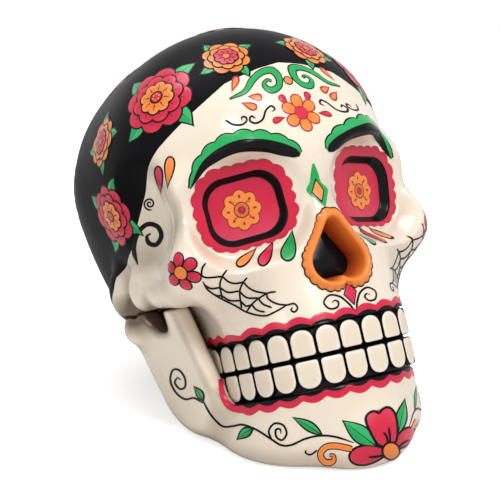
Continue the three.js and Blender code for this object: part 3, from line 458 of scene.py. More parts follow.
# Enamel whose tone runs from deep to light with the shade attribute, slightly clouded and brushed
def enamel(name, deep, middle, light, roughness=0.34, gloss=0.4, coat=0.35, cloud=0.08, brush=0.06, grain=55):
    material, tree, shader = freshMaterial(
        name, {"Specular IOR Level": gloss, "Coat Weight": coat, "Coat Roughness": 0.1})
    tone = addNode(tree, "ShaderNodeAttribute")
    tone.attribute_name = "shade"
    ramp = addNode(tree, "ShaderNodeValToRGB")
    ramp.color_ramp.elements[0].color = srgb(deep)
    ramp.color_ramp.elements[1].color = srgb(light)
    ramp.color_ramp.elements.new(0.5).color = srgb(middle)
    place = addNode(tree, "ShaderNodeTexCoord")
    clouds = addNode(tree, "ShaderNodeTexNoise", {"Scale": grain, "Detail": 4})
    drift = addNode(tree, "ShaderNodeMath", {1: cloud * 2, 2: -cloud}, "MULTIPLY_ADD")
    total = addNode(tree, "ShaderNodeMath")
    strokes = addNode(tree, "ShaderNodeTexNoise", {"Scale": grain * 6, "Detail": 3})
    bump = addNode(tree, "ShaderNodeBump", {"Strength": brush, "Distance": 0.0006})
    rough = addNode(tree, "ShaderNodeMapRange", {"To Min": roughness - 0.06, "To Max": roughness + 0.06})
    wire(tree, (place, "Object", clouds, "Vector"), (clouds, "Fac", drift, 0), (drift, 0, total, 0),
         (tone, "Fac", total, 1), (total, 0, ramp, "Fac"), (ramp, "Color", shader, "Base Color"),
         (place, "Object", strokes, "Vector"), (strokes, "Fac", bump, "Height"),
         (bump, "Normal", shader, "Normal"), (clouds, "Fac", rough, "Value"),
         (rough, "Result", shader, "Roughness"))
    return material


colourGloss = {"gloss": 0.28, "coat": 0.22, "brush": 0.08}
paint = {
    # the deep bone tone is the painted shade laid into hollows and into the gap by the jaw
    "bone": enamel("boneEnamel", "6b523d", "f3e4cf", "faf2e5", roughness=0.26, coat=0.6, cloud=0.04, grain=16),
    "black": enamel("blackEnamel", "060507", "0c0b0e", "1c1a1f", roughness=0.3, gloss=0.1, coat=0.06,
                    brush=0.08),
    "cap": enamel("capEnamel", "060507", "0a090c", "17161a", roughness=0.42, gloss=0.05, coat=0.0, brush=0.1),
    "crimson": enamel("crimsonEnamel", "7d0d20", "d81e44", "f2728f", **colourGloss),
    "orange": enamel("orangeEnamel", "a83218", "f58a38", "fbb878", **colourGloss),
    "green": enamel("greenEnamel", "06552e", "0ea653", "5fd99a", **colourGloss),
    "tooth": enamel("toothEnamel", "b0977c", "efdfc9", "fbf5ea", roughness=0.25, cloud=0.05, grain=40),
}


def finishPiece(name, mesh, body, replaces=()):
    piece = bpy.data.objects.new(name, mesh)
    bpy.context.scene.collection.objects.link(piece)
    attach(piece, body)
    if replaces:
        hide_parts(*replaces)
    print("  ", name, len(mesh.vertices), "points", len(mesh.polygons), "faces")


# A mesh from level millimetres, with a material number for each face and a shade for each point
def meshOf(name, points, faces, colours, index=None, shade=None, stand=True):
    mesh = bpy.data.meshes.new(name)
    placed = toRow(points) if stand else np.asarray(points, float)
    mesh.from_pydata(placed.tolist(), [], [tuple(int(i) for i in face) for face in faces])
    for colour in colours:
        mesh.materials.append(paint[colour])
    if index is not None:
        mesh.polygons.foreach_set("material_index", np.asarray(index, np.int32))
    mesh.polygons.foreach_set("use_smooth", np.full(len(mesh.polygons), True))
    layer = mesh.attributes.new("shade", "FLOAT", "POINT")
    values = np.full(len(points), 0.5) if shade is None else np.asarray(shade, float)
    layer.data.foreach_set("value", values.astype(np.float32))
    mesh.update()
    return mesh


def makePiece(name, points, faces, colours, body, index=None, shade=None, replaces=()):
    finishPiece(name, meshOf(name, points, faces, colours, index, shade), body, replaces)


# Camera: where the photograph was taken from
view = {"place": (-0.674, -1.1096, 0.5063), "forward": (0.5039, 0.8245, -0.2573), "roll": -1.18,
        "focal": 1363.0, "centre": (257.0, 243.4), "frame": 500, "near": 1000.0}
cameraData = bpy.data.cameras.new("camera")
cameraData.sensor_width = 36
cameraData.lens = view["focal"] / view["frame"] * 36
cameraData.shift_x = (view["frame"] / 2 - view["centre"][0]) / view["frame"]
cameraData.shift_y = (view["centre"][1] - view["frame"] / 2) / view["frame"]
cameraData.clip_end = 20
camera = bpy.data.objects.new("camera", cameraData)
bpy.context.scene.collection.objects.link(camera)
forward = Vector(view["forward"]).normalized()
turned = forward.to_track_quat("-Z", "Y").to_matrix() @ Matrix.Rotation(math.radians(view["roll"]), 3, "Z")
camera.matrix_world = Matrix.Translation(view["place"]) @ turned.to_4x4()
bpy.context.scene.camera = camera
lookRight, lookUp, lookBack = [np.array(turned.col[i]) for i in range(3)]
cameraPlace = levelToRow.T @ (np.array(view["place"]) / metres - rowShift)


# Where pixels of the photograph meet a skin, or come nearest to it
def meetSkin(field, pixels):
    across = (pixels[:, 0] - view["centre"][0]) / view["focal"]
    down = (pixels[:, 1] - view["centre"][1]) / view["focal"]
    way = unit((across[:, None] * lookRight - down[:, None] * lookUp - lookBack) @ levelToRow)
    run = np.full(len(pixels), view["near"])
    best, nearest = run.copy(), np.full(len(pixels), 1e9)
    for _ in range(70):
        gap = field(cameraPlace + run[:, None] * way)
        closer = np.abs(gap) < nearest
        best, nearest = np.where(closer, run, best), np.where(closer, np.abs(gap), nearest)
        run = run + 0.75 * np.clip(gap, -15, 60)
    return settle(field, cameraPlace + best[:, None] * way, 3)


# Skins of the cranium and the jaw, with painted shade: darker in hollows and in the gap behind the teeth
fineness = {"cell": 2.2, "jawCell": 2.0}
paintedShade = {"open": 0.56, "hollow": 0.78, "near": 5, "wide": 22, "gap": 0.62, "gapEdge": 1.25, "gapReach": 15,
        "gapFront": -62, "gapEase": 12}


# Painted shade: the skin's tone drops where it is hollow and where it passes close to the other body behind the
# teeth
def shadeOfHollowsAndGap(field, other, points):
    normal = unit(slopeOf(field, points))
    reaches = (paintedShade["near"], paintedShade["wide"])
    near, wide = [np.clip(field(points + normal * reach) / reach, 0, 1) for reach in reaches]
    hollow = np.clip(1 - 0.5 * (near + wide), 0, 1)
    gap = np.clip(paintedShade["gapEdge"] - other(points) / paintedShade["gapReach"], 0, 1)
    gap = paintedShade["gap"] * gap * easing((points[:, 1] - paintedShade["gapFront"]) / paintedShade["gapEase"])
    return paintedShade["open"] - paintedShade["hollow"] * hollow - gap


shellPoints, shellFaces = skinMesh(craniumShell, (-154, -205, -180), (154, 180, 196), fineness["cell"])
print("cranium skin:", len(shellPoints), "points")
jawPoints, jawFaces = skinMesh(jawSkin, (-146, -196, -280), (146, 60, -56), fineness["jawCell"])
print("jaw skin:", len(jawPoints), "points")

# Painted cap: its edge from the middle of the forehead past the temple to the ear lobe, in photo pixels
cap = {"edge": ((277, 62.5), (257.6, 68.5), (241, 76), (224.4, 83.8), (190, 115), (158, 148.8), (146.6, 183.3),
                (142.8, 203.7), (139, 219), (132.5, 248.2), (127.4, 264.8), (116.6, 277.6), (114, 290)),
       "centre": (0, -10, 20), "nape": ((150, -62), (180, -66))}


def roundCap(points):
    p = np.asarray(points) - cap["centre"]
    return (np.degrees(np.arctan2(np.abs(p[:, 0]), -p[:, 1])),
            np.degrees(np.arctan2(p[:, 2], np.hypot(p[:, 0], p[:, 1]))))


capAzimuth, capHeight = roundCap(meetSkin(craniumSkin, np.array(cap["edge"], float)))
capAzimuth[0] = 0
capAzimuth = np.concatenate([np.maximum.accumulate(capAzimuth), [a for a, _ in cap["nape"]]])
capHeight = np.concatenate([capHeight, [h for _, h in cap["nape"]]])


def capSide(points):
    azimuth, height = roundCap(points)
    return height - np.interp(azimuth, capAzimuth, capHeight)


points, faces, _ = splitFaces(shellPoints, shellFaces, capSide(shellPoints))
shade = np.full(len(points), 0.5)
# painted shade in the hollows of the cranium and beside the jaw
shade[:len(shellPoints)] = shadeOfHollowsAndGap(craniumShell, jawSkin, shellPoints)


# One moulding of the cranium, cut at the seam and closed across it
def moulding(name, keepBack, node):
    cutPoints, cutFaces, back = splitFaces(points, faces, points[:, 1] - seam["y"])
    side = back == keepBack
    cutShade = np.full(len(cutPoints), 0.5)
    cutShade[:len(points)] = shade
    blackSide = capSide(cutPoints[cutFaces[side]].mean(1)) > 0
    used, packed = np.unique(cutFaces[side], return_inverse=True)
    mesh = meshOf(name, cutPoints[used], packed.reshape(-1, 3), ["bone", "cap"], blackSide, cutShade[used])
    shell = bmesh.new()
    shell.from_mesh(mesh)
    bmesh.ops.holes_fill(shell, edges=[edge for edge in shell.edges if edge.is_boundary], sides=0)
    shell.to_mesh(mesh)
    shell.free()
    finishPiece(name, mesh, "cranium", [node])


moulding("faceSkin", False, "face_shell")
moulding("rearSkin", True, "rear_shell")
# painted shade in the hollows of the jaw and beside the cranium
makePiece("jawSkin", jawPoints, jawFaces, ["bone"], "jaw", shade=shadeOfHollowsAndGap(jawSkin, craniumSkin, jawPoints),
          replaces=["mandible"])


# Rings of equal count joined side to side
def joinRings(rings, closedAcross=True):
    rings = np.asarray(rings)
    rows, count = rings.shape[:2]
    a = np.arange(rows - 1)[:, None] * count + np.arange(count if closedAcross else count - 1)[None]
    b = np.arange(rows - 1)[:, None] * count + (np.arange(a.shape[1])[None] + 1) % count
    faces = np.stack([a, b, b + count, a + count], -1).reshape(-1, 4)
    return rings.reshape(-1, 3), [tuple(face) for face in faces.tolist()]


# A closed line with evenly spaced points, and the way out at each
def evenLoop(line, out, count):
    line, out = np.concatenate([line, line[:1]]), np.concatenate([out, out[:1]])
    lengths = lengthsAlong(line)
    wanted = np.linspace(0, lengths[-1], count, endpoint=False)
    return [atLengths(wanted, lengths, values) for values in (line, out)]


fullTurn = np.linspace(0, 2 * np.pi, 1440, endpoint=False)


# Eye cups: rim on the skin, black sloped side, dished floor
cup = {"steps": 144, "flange": ((-6, 2.4), (-0.9, 2.2), (-0.4, 0.5)),
       "wall": (0.18, 0.33, 0.5, 0.67, 0.82, 0.94),
       "floor": (0.94, 0.85, 0.74, 0.62, 0.5, 0.38, 0.26, 0.15, 0.06), "inset": 0.7, "glow": 0.15}


def eyeLoop(out, count):
    down = np.clip(-out / eye["depth"], 0, 1)
    a, b = eye["halfWidth"] - eye["slope"] * down, eye["halfHeight"] - eye["slope"] * down
    r = eye["corner"] - eye["slope"] * down * 0.5
    c, s = np.cos(fullTurn), np.sin(fullTurn)
    line = np.stack([np.sign(c) * (a - r) + r * c, np.sign(s) * (b - r) + r * s], 1)
    return evenLoop(line, np.stack([c, s], 1), count)


def onEyePlane(line, out):
    return np.array(eye["at"]) + line[..., :1] * np.array(eyeAcross) + line[..., 1:] * np.array(eyeUp) \
        + np.asarray(out)[..., None] * np.array(eyeOut)


def eyeRing(out, grow):
    line, way = eyeLoop(out, cup["steps"])
    return onEyePlane(line + unit(way) * grow, np.full(cup["steps"], float(out)))


def eyeCup(side, node):
    count, floor = cup["steps"], -eye["depth"]
    rings = [eyeRing(*ring) for ring in cup["flange"]] + [eyeRing(floor * t, 0) for t in cup["wall"]]
    rings.append(eyeRing(floor, -cup["inset"]))
    wall = (len(rings) - 1) * count
    line, way = eyeLoop(floor, count)
    line = line - cup["inset"] * unit(way)
    rings += [settle(cupFloor, onEyePlane(line * t, np.full(count, floor)), 2) for t in cup["floor"]]
    pts, faces = joinRings(rings)
    faces.append(tuple(range((len(rings) - 1) * count, len(rings) * count)))
    pts = pts * (side, 1, 1)
    if side > 0:
        faces = [tuple(reversed(face)) for face in faces]
    index = [0 if i < wall else 1 for i in range(len(faces))]
    # painted highlight: the cup is lighter towards its lower edge, where the dished floor catches the light
    shade = 0.5 - cup["glow"] * (pts[:, 2] - eye["at"][2]) / eye["halfHeight"]  # lighter towards the lower edge
    makePiece("eyeCup" + ("Left" if side > 0 else "Right"), pts, faces, ["black", "crimson"], "cranium",
              index=index, shade=shade, replaces=[node])


eyeCup(1, "eye_cup_left")
eyeCup(-1, "eye_cup_right")

# Nasal rim: rolled flange with a scalloped edge, passage behind it
rim = {"points": 360, "scallops": 30, "bite": 0.75, "spine": 3.2, "spineWidth": 4.5, "notch": 4.2,
       "notchWidth": 4.2, "seat": 2.0, "edge": ((0, -1.5), (0, 0.6), (-0.8, 1.4)),
       "roll": ((0.78, 0.55), (0.66, 0.8), (0.54, 0.95), (0.43, 1.0), (0.32, 0.98), (0.22, 0.88)),
       "inward": ((0.1, 1.6, 0.3), (0.0, 3.2, 0.8), (-0.05, 5.2, 1.0), (-0.12, 7.4, 1.0)),
       "passage": (0.15, 0.3, 0.45, 0.6, 0.75, 0.9, 1.0),
       "tones": ((0.42, 0.56, 9), (0.5, 0.36, 4), (0.3, 0.0, 7)),
       "back": (0, 0.12, 0.3, 0.5, 0.7, 0.88, 0.97), "backSwell": 5, "backLap": 0.6, "farthest": -230.0}
noseWay = np.stack([np.cos(fullTurn - np.pi / 2), np.sin(fullTurn - np.pi / 2)], 1)
noseDisc = noseDiscs[(noseWay @ noseDiscs[:, :2].T + noseDiscs[:, 2]).argmax(1)]
noseLine, noseOut = evenLoop(noseDisc[:, :2] + noseWay * noseDisc[:, 2:], noseWay, rim["points"])
noseOut = unit(noseOut)
atSpine = np.exp(-(noseLine[:, 0] / rim["spineWidth"]) ** 2) * (noseLine[:, 1] < noseLow)
atNotch = np.exp(-(noseLine[:, 0] / rim["notchWidth"]) ** 2) * (noseLine[:, 1] < noseLow)


# Where a line from the front meets the face
def faceY(x, z, step=3.0):
    outside = np.full_like(x, rim["farthest"])
    for y in np.arange(rim["farthest"], -90.0, step):
        clear = craniumSkin(np.stack([x, np.full_like(x, y), z], -1)) > 0
        outside = np.where(clear & (outside >= y - step - 0.01), y, outside)
    inside = outside + step
    for _ in range(18):
        middle = (outside + inside) / 2
        out = craniumSkin(np.stack([x, middle, z], -1)) > 0
        outside, inside = np.where(out, middle, outside), np.where(out, inside, middle)
    return inside


# Straight in from the front up to the seat of the rim, and along the skin beyond it
def noseRing(grow, height, spine=0.0):
    grow = np.broadcast_to(np.asarray(grow, float), rim["points"]) - spine * rim["spine"] * atSpine
    line = noseLine + noseOut * np.minimum(grow, rim["seat"])[:, None]
    pts = np.stack([line[:, 0], faceY(line[:, 0], line[:, 1]), line[:, 1]], 1)
    normal = unit(slopeOf(craniumSkin, pts))
    out = np.stack([noseOut[:, 0], np.zeros(rim["points"]), noseOut[:, 1]], 1)
    out = unit(out - normal * np.sum(out * normal, 1, keepdims=True))
    beyond = np.maximum(grow - rim["seat"], 0)[:, None]
    pts = np.where(beyond > 0, settle(craniumSkin, pts + out * beyond, 3), pts)
    return pts + unit(normal * np.clip(grow / 5, 0, 1)[:, None] + (0, -1, 0)) * np.asarray(height)


scallop = np.abs(np.sin(np.pi * rim["scallops"] * np.arange(rim["points"]) / rim["points"]))
rimEdge = nose["flange"] - rim["bite"] + 2 * rim["bite"] * scallop - rim["notch"] * atNotch
noseFloor = noseRing(0, 0)[:, 1].max() + nose["depth"] - nose["roll"]


def nasalRim():
    rings = [noseRing(rimEdge + grow, height) for grow, height in rim["edge"]]
    for share, rise in rim["roll"]:
        rings.append(noseRing((nose["flange"] - rim["notch"] * atNotch) * share, nose["roll"] * rise))
    for share, down, spine in rim["inward"]:
        rings.append(noseRing(nose["flange"] * share, nose["roll"] - down, spine))
    start, end = rings[-1], noseRing(-nose["taper"], 0)
    end[:, 1] = noseFloor
    rings += [start + (end - start) * t for t in rim["passage"]]
    pts, faces = joinRings(rings)
    # tones of the rings: rising along the edge and roll, then darker deeper into the passage, partly its
    # orange-to-dark-red paint and partly painted shade in the recess
    tone = np.concatenate([np.linspace(*run) for run in rim["tones"]])
    makePiece("nasalRim", pts, faces, ["orange"], "cranium", shade=np.repeat(tone, rim["points"]),
              replaces=["nasal_rim"])


# Nasal back: a glossy plate swelling towards its middle
def nasalBack():
    edgeRing = noseRing(-nose["taper"] + rim["backLap"], 0)
    edgeRing[:, 1] = noseFloor - 1
    centre = edgeRing.mean(0)
    rings = [edgeRing + (centre - edgeRing) * t - np.array([0, rim["backSwell"] * (1 - (1 - t) ** 2), 0])
             for t in rim["back"]]
    pts, faces = joinRings(rings)
    faces.append(tuple((len(rings) - 1) * rim["points"] + i for i in range(rim["points"])))
    makePiece("nasalBack", pts, faces, ["black"], "cranium", replaces=["nasal_back"])


nasalRim()
nasalBack()

# Tooth rows: a black gum bar along the arch, and a tree that sets the crowns along it
archTurn = np.linspace(-np.pi / 2, np.pi / 2, 1201)
archLine = np.stack([np.sign(np.sin(archTurn)) * arch["half"] * np.abs(np.sin(archTurn)) ** (2 / arch["power"]),
                     arch["back"] - arch["reach"] * np.abs(np.cos(archTurn)) ** (2 / arch["power"])], 1)
archLength = lengthsAlong(archLine)
crownPitch = archLength[-1] / (2 * arch["teeth"])
# Crown tones ring by ring: painted shade down the sides between the crowns, and a painted highlight round the
# rounded edge of the face
crown = {"rings": ((7, 0), (2.8, 0), (1.7, 0.25), (0.95, 0.8), (0.5, 1.5), (0.2, 2.4), (0, 3.8), (-0.15, 5.6)),
         "tones": (0.2, 0.3, 0.4, 0.6, 0.74, 0.66, 0.56, 0.5), "size": 1.0, "square": 0.92, "corner": 0.28,
         "cornerLeast": 0.8, "short": 2.8,
         "edge": ((6.6, -0.06), (2.8, -0.08), (1.62, 0.18), (1.2, 0.46), (0.98, 0.68), (1.1, 0.76))}


# Places along the arch, and the way out at each
def alongArch(distance, step=0.8):
    distance = np.asarray(distance, float)
    ahead, back = [atLengths(distance + way, archLength, archLine) for way in (step, -step)]
    way = unit(ahead - back)
    return atLengths(distance, archLength, archLine), np.stack([way[..., 1], -way[..., 0]], -1)


def crownOutline(width, height, inset, steps=9):
    half = width / 2 - inset
    top = min(half, height / 2)
    corner = max(half * crown["corner"], crown["cornerLeast"])
    line = []
    for x, y, start in ((-half + corner, inset + corner, 180), (half - corner, inset + corner, 270)):
        for i in range(5):
            a = math.radians(start + 90 * i / 4)
            line.append((x + corner * math.cos(a), y + corner * math.sin(a)))
    for i in range(2 * steps + 1):
        a = math.pi * i / (2 * steps)
        c, s = math.cos(a), math.sin(a)
        line.append((half * math.copysign(abs(c) ** crown["square"], c),
                     height - inset - top + top * s ** crown["square"]))
    return np.array(line)


# One crown at the origin, its face to the front and its root up or down, or the ink round its edge
def crownMesh(name, height, way, ink):
    rings = []
    for depth, inset in crown["edge"] if ink else crown["rings"]:
        line = crownOutline(crownPitch - arch["gap"], height, inset)
        rings.append(np.stack([line[:, 0], np.full(len(line), depth), way * (arch["relief"] + line[:, 1])], 1))
    pts, faces = joinRings(rings)
    count = len(rings[0])
    if not ink:
        faces.append(tuple((len(rings) - 1) * count + i for i in range(count)))
        faces.append(tuple(reversed(range(count))))
    if way < 0:
        faces = [tuple(reversed(face)) for face in faces]
    tones = np.full(len(rings), 0.5) if ink else crown["tones"]
    return meshOf(name, pts, faces, ["black" if ink else "tooth"], shade=np.repeat(tones, count), stand=False)


def crownTree():
    tree = bpy.data.node_groups.new("crownsAlongArch", "GeometryNodeTree")
    sockets = {}
    for label, kind in (("Places", "Geometry"), ("Crown", "Object"), ("Crown Size", "Float"),
                        ("Enamel", "Material")):
        socket = tree.interface.new_socket(label, in_out="INPUT", socket_type="NodeSocket" + kind)
        sockets[label] = socket.identifier
    tree.interface.new_socket("Row", in_out="OUTPUT", socket_type="NodeSocketGeometry")
    start, end = addNode(tree, "NodeGroupInput"), addNode(tree, "NodeGroupOutput")
    turn = addNode(tree, "GeometryNodeInputNamedAttribute", {"Name": "turn"})
    turn.data_type = "FLOAT"
    axes, spin = addNode(tree, "ShaderNodeCombineXYZ"), addNode(tree, "FunctionNodeEulerToRotation")
    template, setOut = addNode(tree, "GeometryNodeObjectInfo"), addNode(tree, "GeometryNodeInstanceOnPoints")
    real, enamelled = addNode(tree, "GeometryNodeRealizeInstances"), addNode(tree, "GeometryNodeSetMaterial")
    wire(tree, (turn, "Attribute", axes, "Z"), (axes, "Vector", spin, "Euler"),
         (start, "Places", setOut, "Points"), (start, "Crown", template, "Object"),
         (template, "Geometry", setOut, "Instance"),
         (spin, "Rotation", setOut, "Rotation"), (start, "Crown Size", setOut, "Scale"),
         (setOut, "Instances", real, "Geometry"), (real, "Geometry", enamelled, "Geometry"),
         (start, "Enamel", enamelled, "Material"), (enamelled, "Geometry", end, "Row"))
    return tree, sockets


crownRow, crownSockets = crownTree()


def toothRow(name, gumZ, body, node, ink=False):
    biteZ, colour = arch["bite"], "black" if ink else "tooth"
    way = math.copysign(1, gumZ - biteZ)
    place, out = alongArch(crownPitch * (np.arange(2 * arch["teeth"]) + 0.5))
    places = bpy.data.meshes.new(name + "Places")
    places.from_pydata(np.column_stack([place, np.full(len(place), biteZ)]).tolist(), [], [])
    turn = places.attributes.new("turn", "FLOAT", "POINT")
    turn.data.foreach_set("value", np.arctan2(out[:, 0], -out[:, 1]).astype(np.float32))
    carrier = bpy.data.objects.new(name + "Places", places)
    tooth = crownMesh(name + "Crown", abs(gumZ - biteZ) - crown["short"], way, ink)
    template = bpy.data.objects.new(name + "Crown", tooth)
    for thing in (carrier, template):
        bpy.context.scene.collection.objects.link(thing)
    modifier = carrier.modifiers.new("crowns", "NODES")
    modifier.node_group = crownRow
    modifier[crownSockets["Crown"]] = template
    modifier[crownSockets["Crown Size"]] = crown["size"]
    modifier[crownSockets["Enamel"]] = paint[colour]
    bpy.context.view_layer.update()
    mesh = bpy.data.meshes.new_from_object(carrier.evaluated_get(bpy.context.evaluated_depsgraph_get()))
    carrier.modifiers.remove(modifier)
    for thing in (carrier, template):
        bpy.data.objects.remove(thing)
    mesh.transform(standing)
    mesh.name = name
    finishPiece(name, mesh, body, [] if ink else [node])


def gumBar(name, low, high, body, sections=160):
    place, out = alongArch(np.linspace(0.01, archLength[-1] - 0.01, sections))
    front, back, r = arch["standoff"], arch["standoff"] + arch["bar"], arch["barRound"]
    section = ((front + r, low), (front, low + r), (front, high - r), (front + r, high), (back, high),
               (back, low))
    rings = np.stack([np.concatenate([place - out * depth, np.full((sections, 1), level)], 1)
                      for depth, level in section], 1)
    pts, faces = joinRings(rings)
    n = len(section)
    faces += [tuple(reversed(range(n))), tuple(range((sections - 1) * n, sections * n))]
    makePiece(name, pts, [tuple(reversed(face)) for face in faces], ["black"], body)


for rowPart, isInk in (("Crowns", False), ("CrownInk", True)):
    toothRow("upper" + rowPart, arch["gumTop"], "cranium", "upper_tooth_row", isInk)
    toothRow("lower" + rowPart, arch["gumBottom"], "jaw", "lower_tooth_row", isInk)
gumBar("upperGum", arch["bite"], arch["gumTop"], "cranium")
gumBar("lowerGum", arch["gumBottom"], arch["bite"], "jaw")

# Painted ornament: every mark is a grid of points, set through the photograph or flat on the skin, then lifted
marks = []
levels = {"ink": 0.2, "fill": 0.36, "detail": 0.52, "over": 0.68, "fall": 0.1}
skinTrees = {"cranium": BVHTree.FromPolygons(shellPoints.tolist(), shellFaces.tolist()),
             "jaw": BVHTree.FromPolygons(jawPoints.tolist(), jawFaces.tolist())}
broadAcross = np.concatenate([[-1, -0.94], np.linspace(-0.8, 0.8, 9), [0.94, 1]])
wideAcross = np.array([-1, -0.86, -0.45, 0, 0.45, 0.86, 1])
fineAcross = np.array([-1, -0.7, 0, 0.7, 1])
broadHalf = 6.5
edgeTone = {"black": 0.5, "crimson": 0.2}


def photoCanvas(skinName, both=True):
    return {"skin": skinName, "both": both}


def seen(skinName, pixel):
    return meetSkin(skin[skinName], np.array([pixel], float))[0]


def flatCanvas(skinName, at, both=True):
    at = settle(skin[skinName], np.array([at], float), 6)
    normal = unit(slopeOf(skin[skinName], at))[0]
    pole = np.array((0, 0, 1.0)) if abs(normal[2]) < 0.9 else np.array((0, 1.0, 0))
    up = unit(pole - normal * (normal @ pole))
    return {"skin": skinName, "both": both, "at": at[0], "right": np.cross(up, normal), "up": up}


def lay(canvas, colour, grid, lift, shade=0.5, closed=False):
    size = np.shape(grid)[:2]
    marks.append({"canvas": canvas, "colour": colour, "grid": np.asarray(grid, float), "closed": closed,
                  "lift": np.broadcast_to(lift, size), "shade": np.broadcast_to(shade, size)})


def brush(canvas, colour, line, half, level, shade=0.5, fine=False, columns=None):
    across = broadAcross if np.max(half) > broadHalf and "at" not in canvas else wideAcross
    t = columns if columns is not None else fineAcross if fine else across
    way = unit(np.gradient(line, axis=0))
    side = np.stack([-way[:, 1], way[:, 0]], 1)
    place = line[:, None] + side[:, None] * (half[:, None] * t)[..., None]
    lay(canvas, colour, place, level - levels["fall"] * (np.abs(t) == 1), shade)


# A smooth line through control points
def flow(control, count=None):
    p = np.asarray(control, float)
    p = np.concatenate([[2 * p[0] - p[1]], p, [2 * p[-1] - p[-2]]])
    t = np.linspace(0, 1, 16, endpoint=False)[:, None]
    runs = []
    for a, b, c, d in zip(p, p[1:], p[2:], p[3:]):
        runs.append(0.5 * (2 * b + (c - a) * t + (2 * a - 5 * b + 4 * c - d) * t ** 2
                           + (3 * b - a - 3 * c + d) * t ** 3))
    line = np.concatenate(runs + [p[-2:-1]])
    lengths = lengthsAlong(line)
    wanted = np.linspace(0, lengths[-1], count or max(10, int(lengths[-1] / 1.3)))
    return atLengths(wanted, lengths, line)


# Outlines of single brush shapes, from start to end, grown all round
def blade(start, end, width, kind="drop", grow=0.0, bend=0.0, count=26):
    turn = np.linspace(0, np.pi, count)
    t = (1 - np.cos(turn)) / 2
    profile = {"drop": np.sin(turn) * np.sin(turn / 2) ** 1.6, "petal": np.sin(turn) * np.sin(turn / 2) ** 0.7,
               "leaf": np.sin(np.pi * t ** 0.85) ** 1.1, "disc": np.sin(turn)}[kind]
    start, end = np.array(start, float), np.array(end, float)
    way = unit(end - start)
    start = start - way * grow * (1 if kind == "disc" else 1.6)
    end = end + way * grow * (1.6 if kind == "leaf" else 1)
    line = start + (end - start) * t[:, None] + np.array([-way[1], way[0]]) * bend * np.sin(np.pi * t)[:, None]
    return line, np.maximum(profile / profile.max() * (width / 2 + grow), 0.1)


def inked(canvas, colour, start, end, width, kind="drop", ink=1.0, bend=0.0, tone=(0.3, 0.62), edge="black",
          step=0.0):
    count = 18 if "at" in canvas else 26
    line, half = blade(start, end, width, kind, ink, bend, count)
    brush(canvas, edge, line, half, levels["ink"] + step, edgeTone[edge])
    line, half = blade(start, end, width, kind, -ink * 0.75, bend, count)
    brush(canvas, colour, line, half, levels["fill"] + step, np.linspace(tone[0], tone[1], len(line))[:, None])


def leaf(canvas, base, tip, width, bend=0.0, step=0.0):
    line, half = blade(base, tip, width, "leaf", 1.0, bend)
    brush(canvas, "black", line, half, levels["ink"] + step)
    line, half = blade(base, tip, width, "leaf", -0.75, bend)
    tone = np.where(wideAcross < 0, 0.44, 0.6)[None]
    brush(canvas, "green", line, half, levels["fill"] + step, tone, columns=wideAcross)
    vein = line[2:int(len(line) * 0.78)]
    brush(canvas, "black", vein, np.linspace(0.55, 0.15, len(vein)), levels["detail"] + step, fine=True)


def disc(canvas, colour, centre, radius, level, tone=0.5):
    centre = np.array(centre, float)
    line, half = blade(centre - (radius, 0), centre + (radius, 0), 2 * radius, "disc", count=20)
    brush(canvas, colour, line, half, level, tone)


def inkLine(canvas, control, width=2.0, start=0.45, end=0.35, colour="black", level=levels["fill"], tone=0.5):
    line = flow(control)
    t = np.linspace(0, 1, len(line))
    half = width / 2 * np.minimum(1, np.minimum(start + t / 0.14, end + (1 - t) / 0.14))
    brush(canvas, colour, line, half, level, tone, fine=True)


# A line of its own colour between two ink edges
def ribbonLine(canvas, colour, control, width, ink=1.0, start=0.3, end=0.5):
    line = flow(control)
    t = np.linspace(0, 1, len(line))
    half = width / 2 * np.minimum(1, np.minimum(start + t / 0.35, end + (1 - t) / 0.3))
    brush(canvas, "black", line, half + ink * 0.6, levels["ink"])
    brush(canvas, colour, line, np.maximum(half - ink * 0.5, 0.2), levels["fill"], 0.5)


def panel(canvas, colour, left, right, level, tone=0.5, straight=True):
    if straight:
        even = np.linspace(0, 1, 25)
        runs = [atLengths(even, np.linspace(0, 1, len(side)), np.array(side)) for side in (left, right)]
    else:
        runs = [flow(side, 30) for side in (left, right)]
    t = ((broadAcross + 1) / 2)[None, :, None]
    lay(canvas, colour, runs[0][:, None] * (1 - t) + runs[1][:, None] * t,
        level - levels["fall"] * (np.abs(broadAcross) == 1), tone)


def around(turn, k, count):
    angle = turn + 2 * math.pi * k / count
    return np.array([math.sin(angle), math.cos(angle)])


def flower(canvas, bloom, colour, heart, turn=0.0, edge="black", ink=0.9, tone=(0.22, 0.62)):
    for k in range(bloom["petals"]):
        way = around(turn, k, bloom["petals"])
        inked(canvas, colour, way * heart[1] * 0.45, way * bloom["reach"], bloom["width"], "petal", ink,
              0, tone, edge, step=0.02 * (k % 2))
    disc(canvas, edge, (0, 0), heart[1] + ink, levels["detail"], edgeTone[edge])
    disc(canvas, heart[0], (0, 0), heart[1] - ink * 0.4, levels["over"], heart[2])


def coil(centre, radius, turns, start, hand=1, inner=0.12):
    t = np.linspace(0, 1, int(10 * turns) + 4)
    angle = start + hand * 2 * np.pi * turns * t
    r = radius * (1 - (1 - inner) * t ** 0.85)
    return np.stack([centre[0] + r * np.cos(angle), centre[1] + r * np.sin(angle)], 1)


# Eye bands: crimson, scalloped outside, wide above and thin below
eyeBand = {"scallops": 21, "swell": 1.5, "side": 9.4, "top": 10.4, "bottom": 3.6}


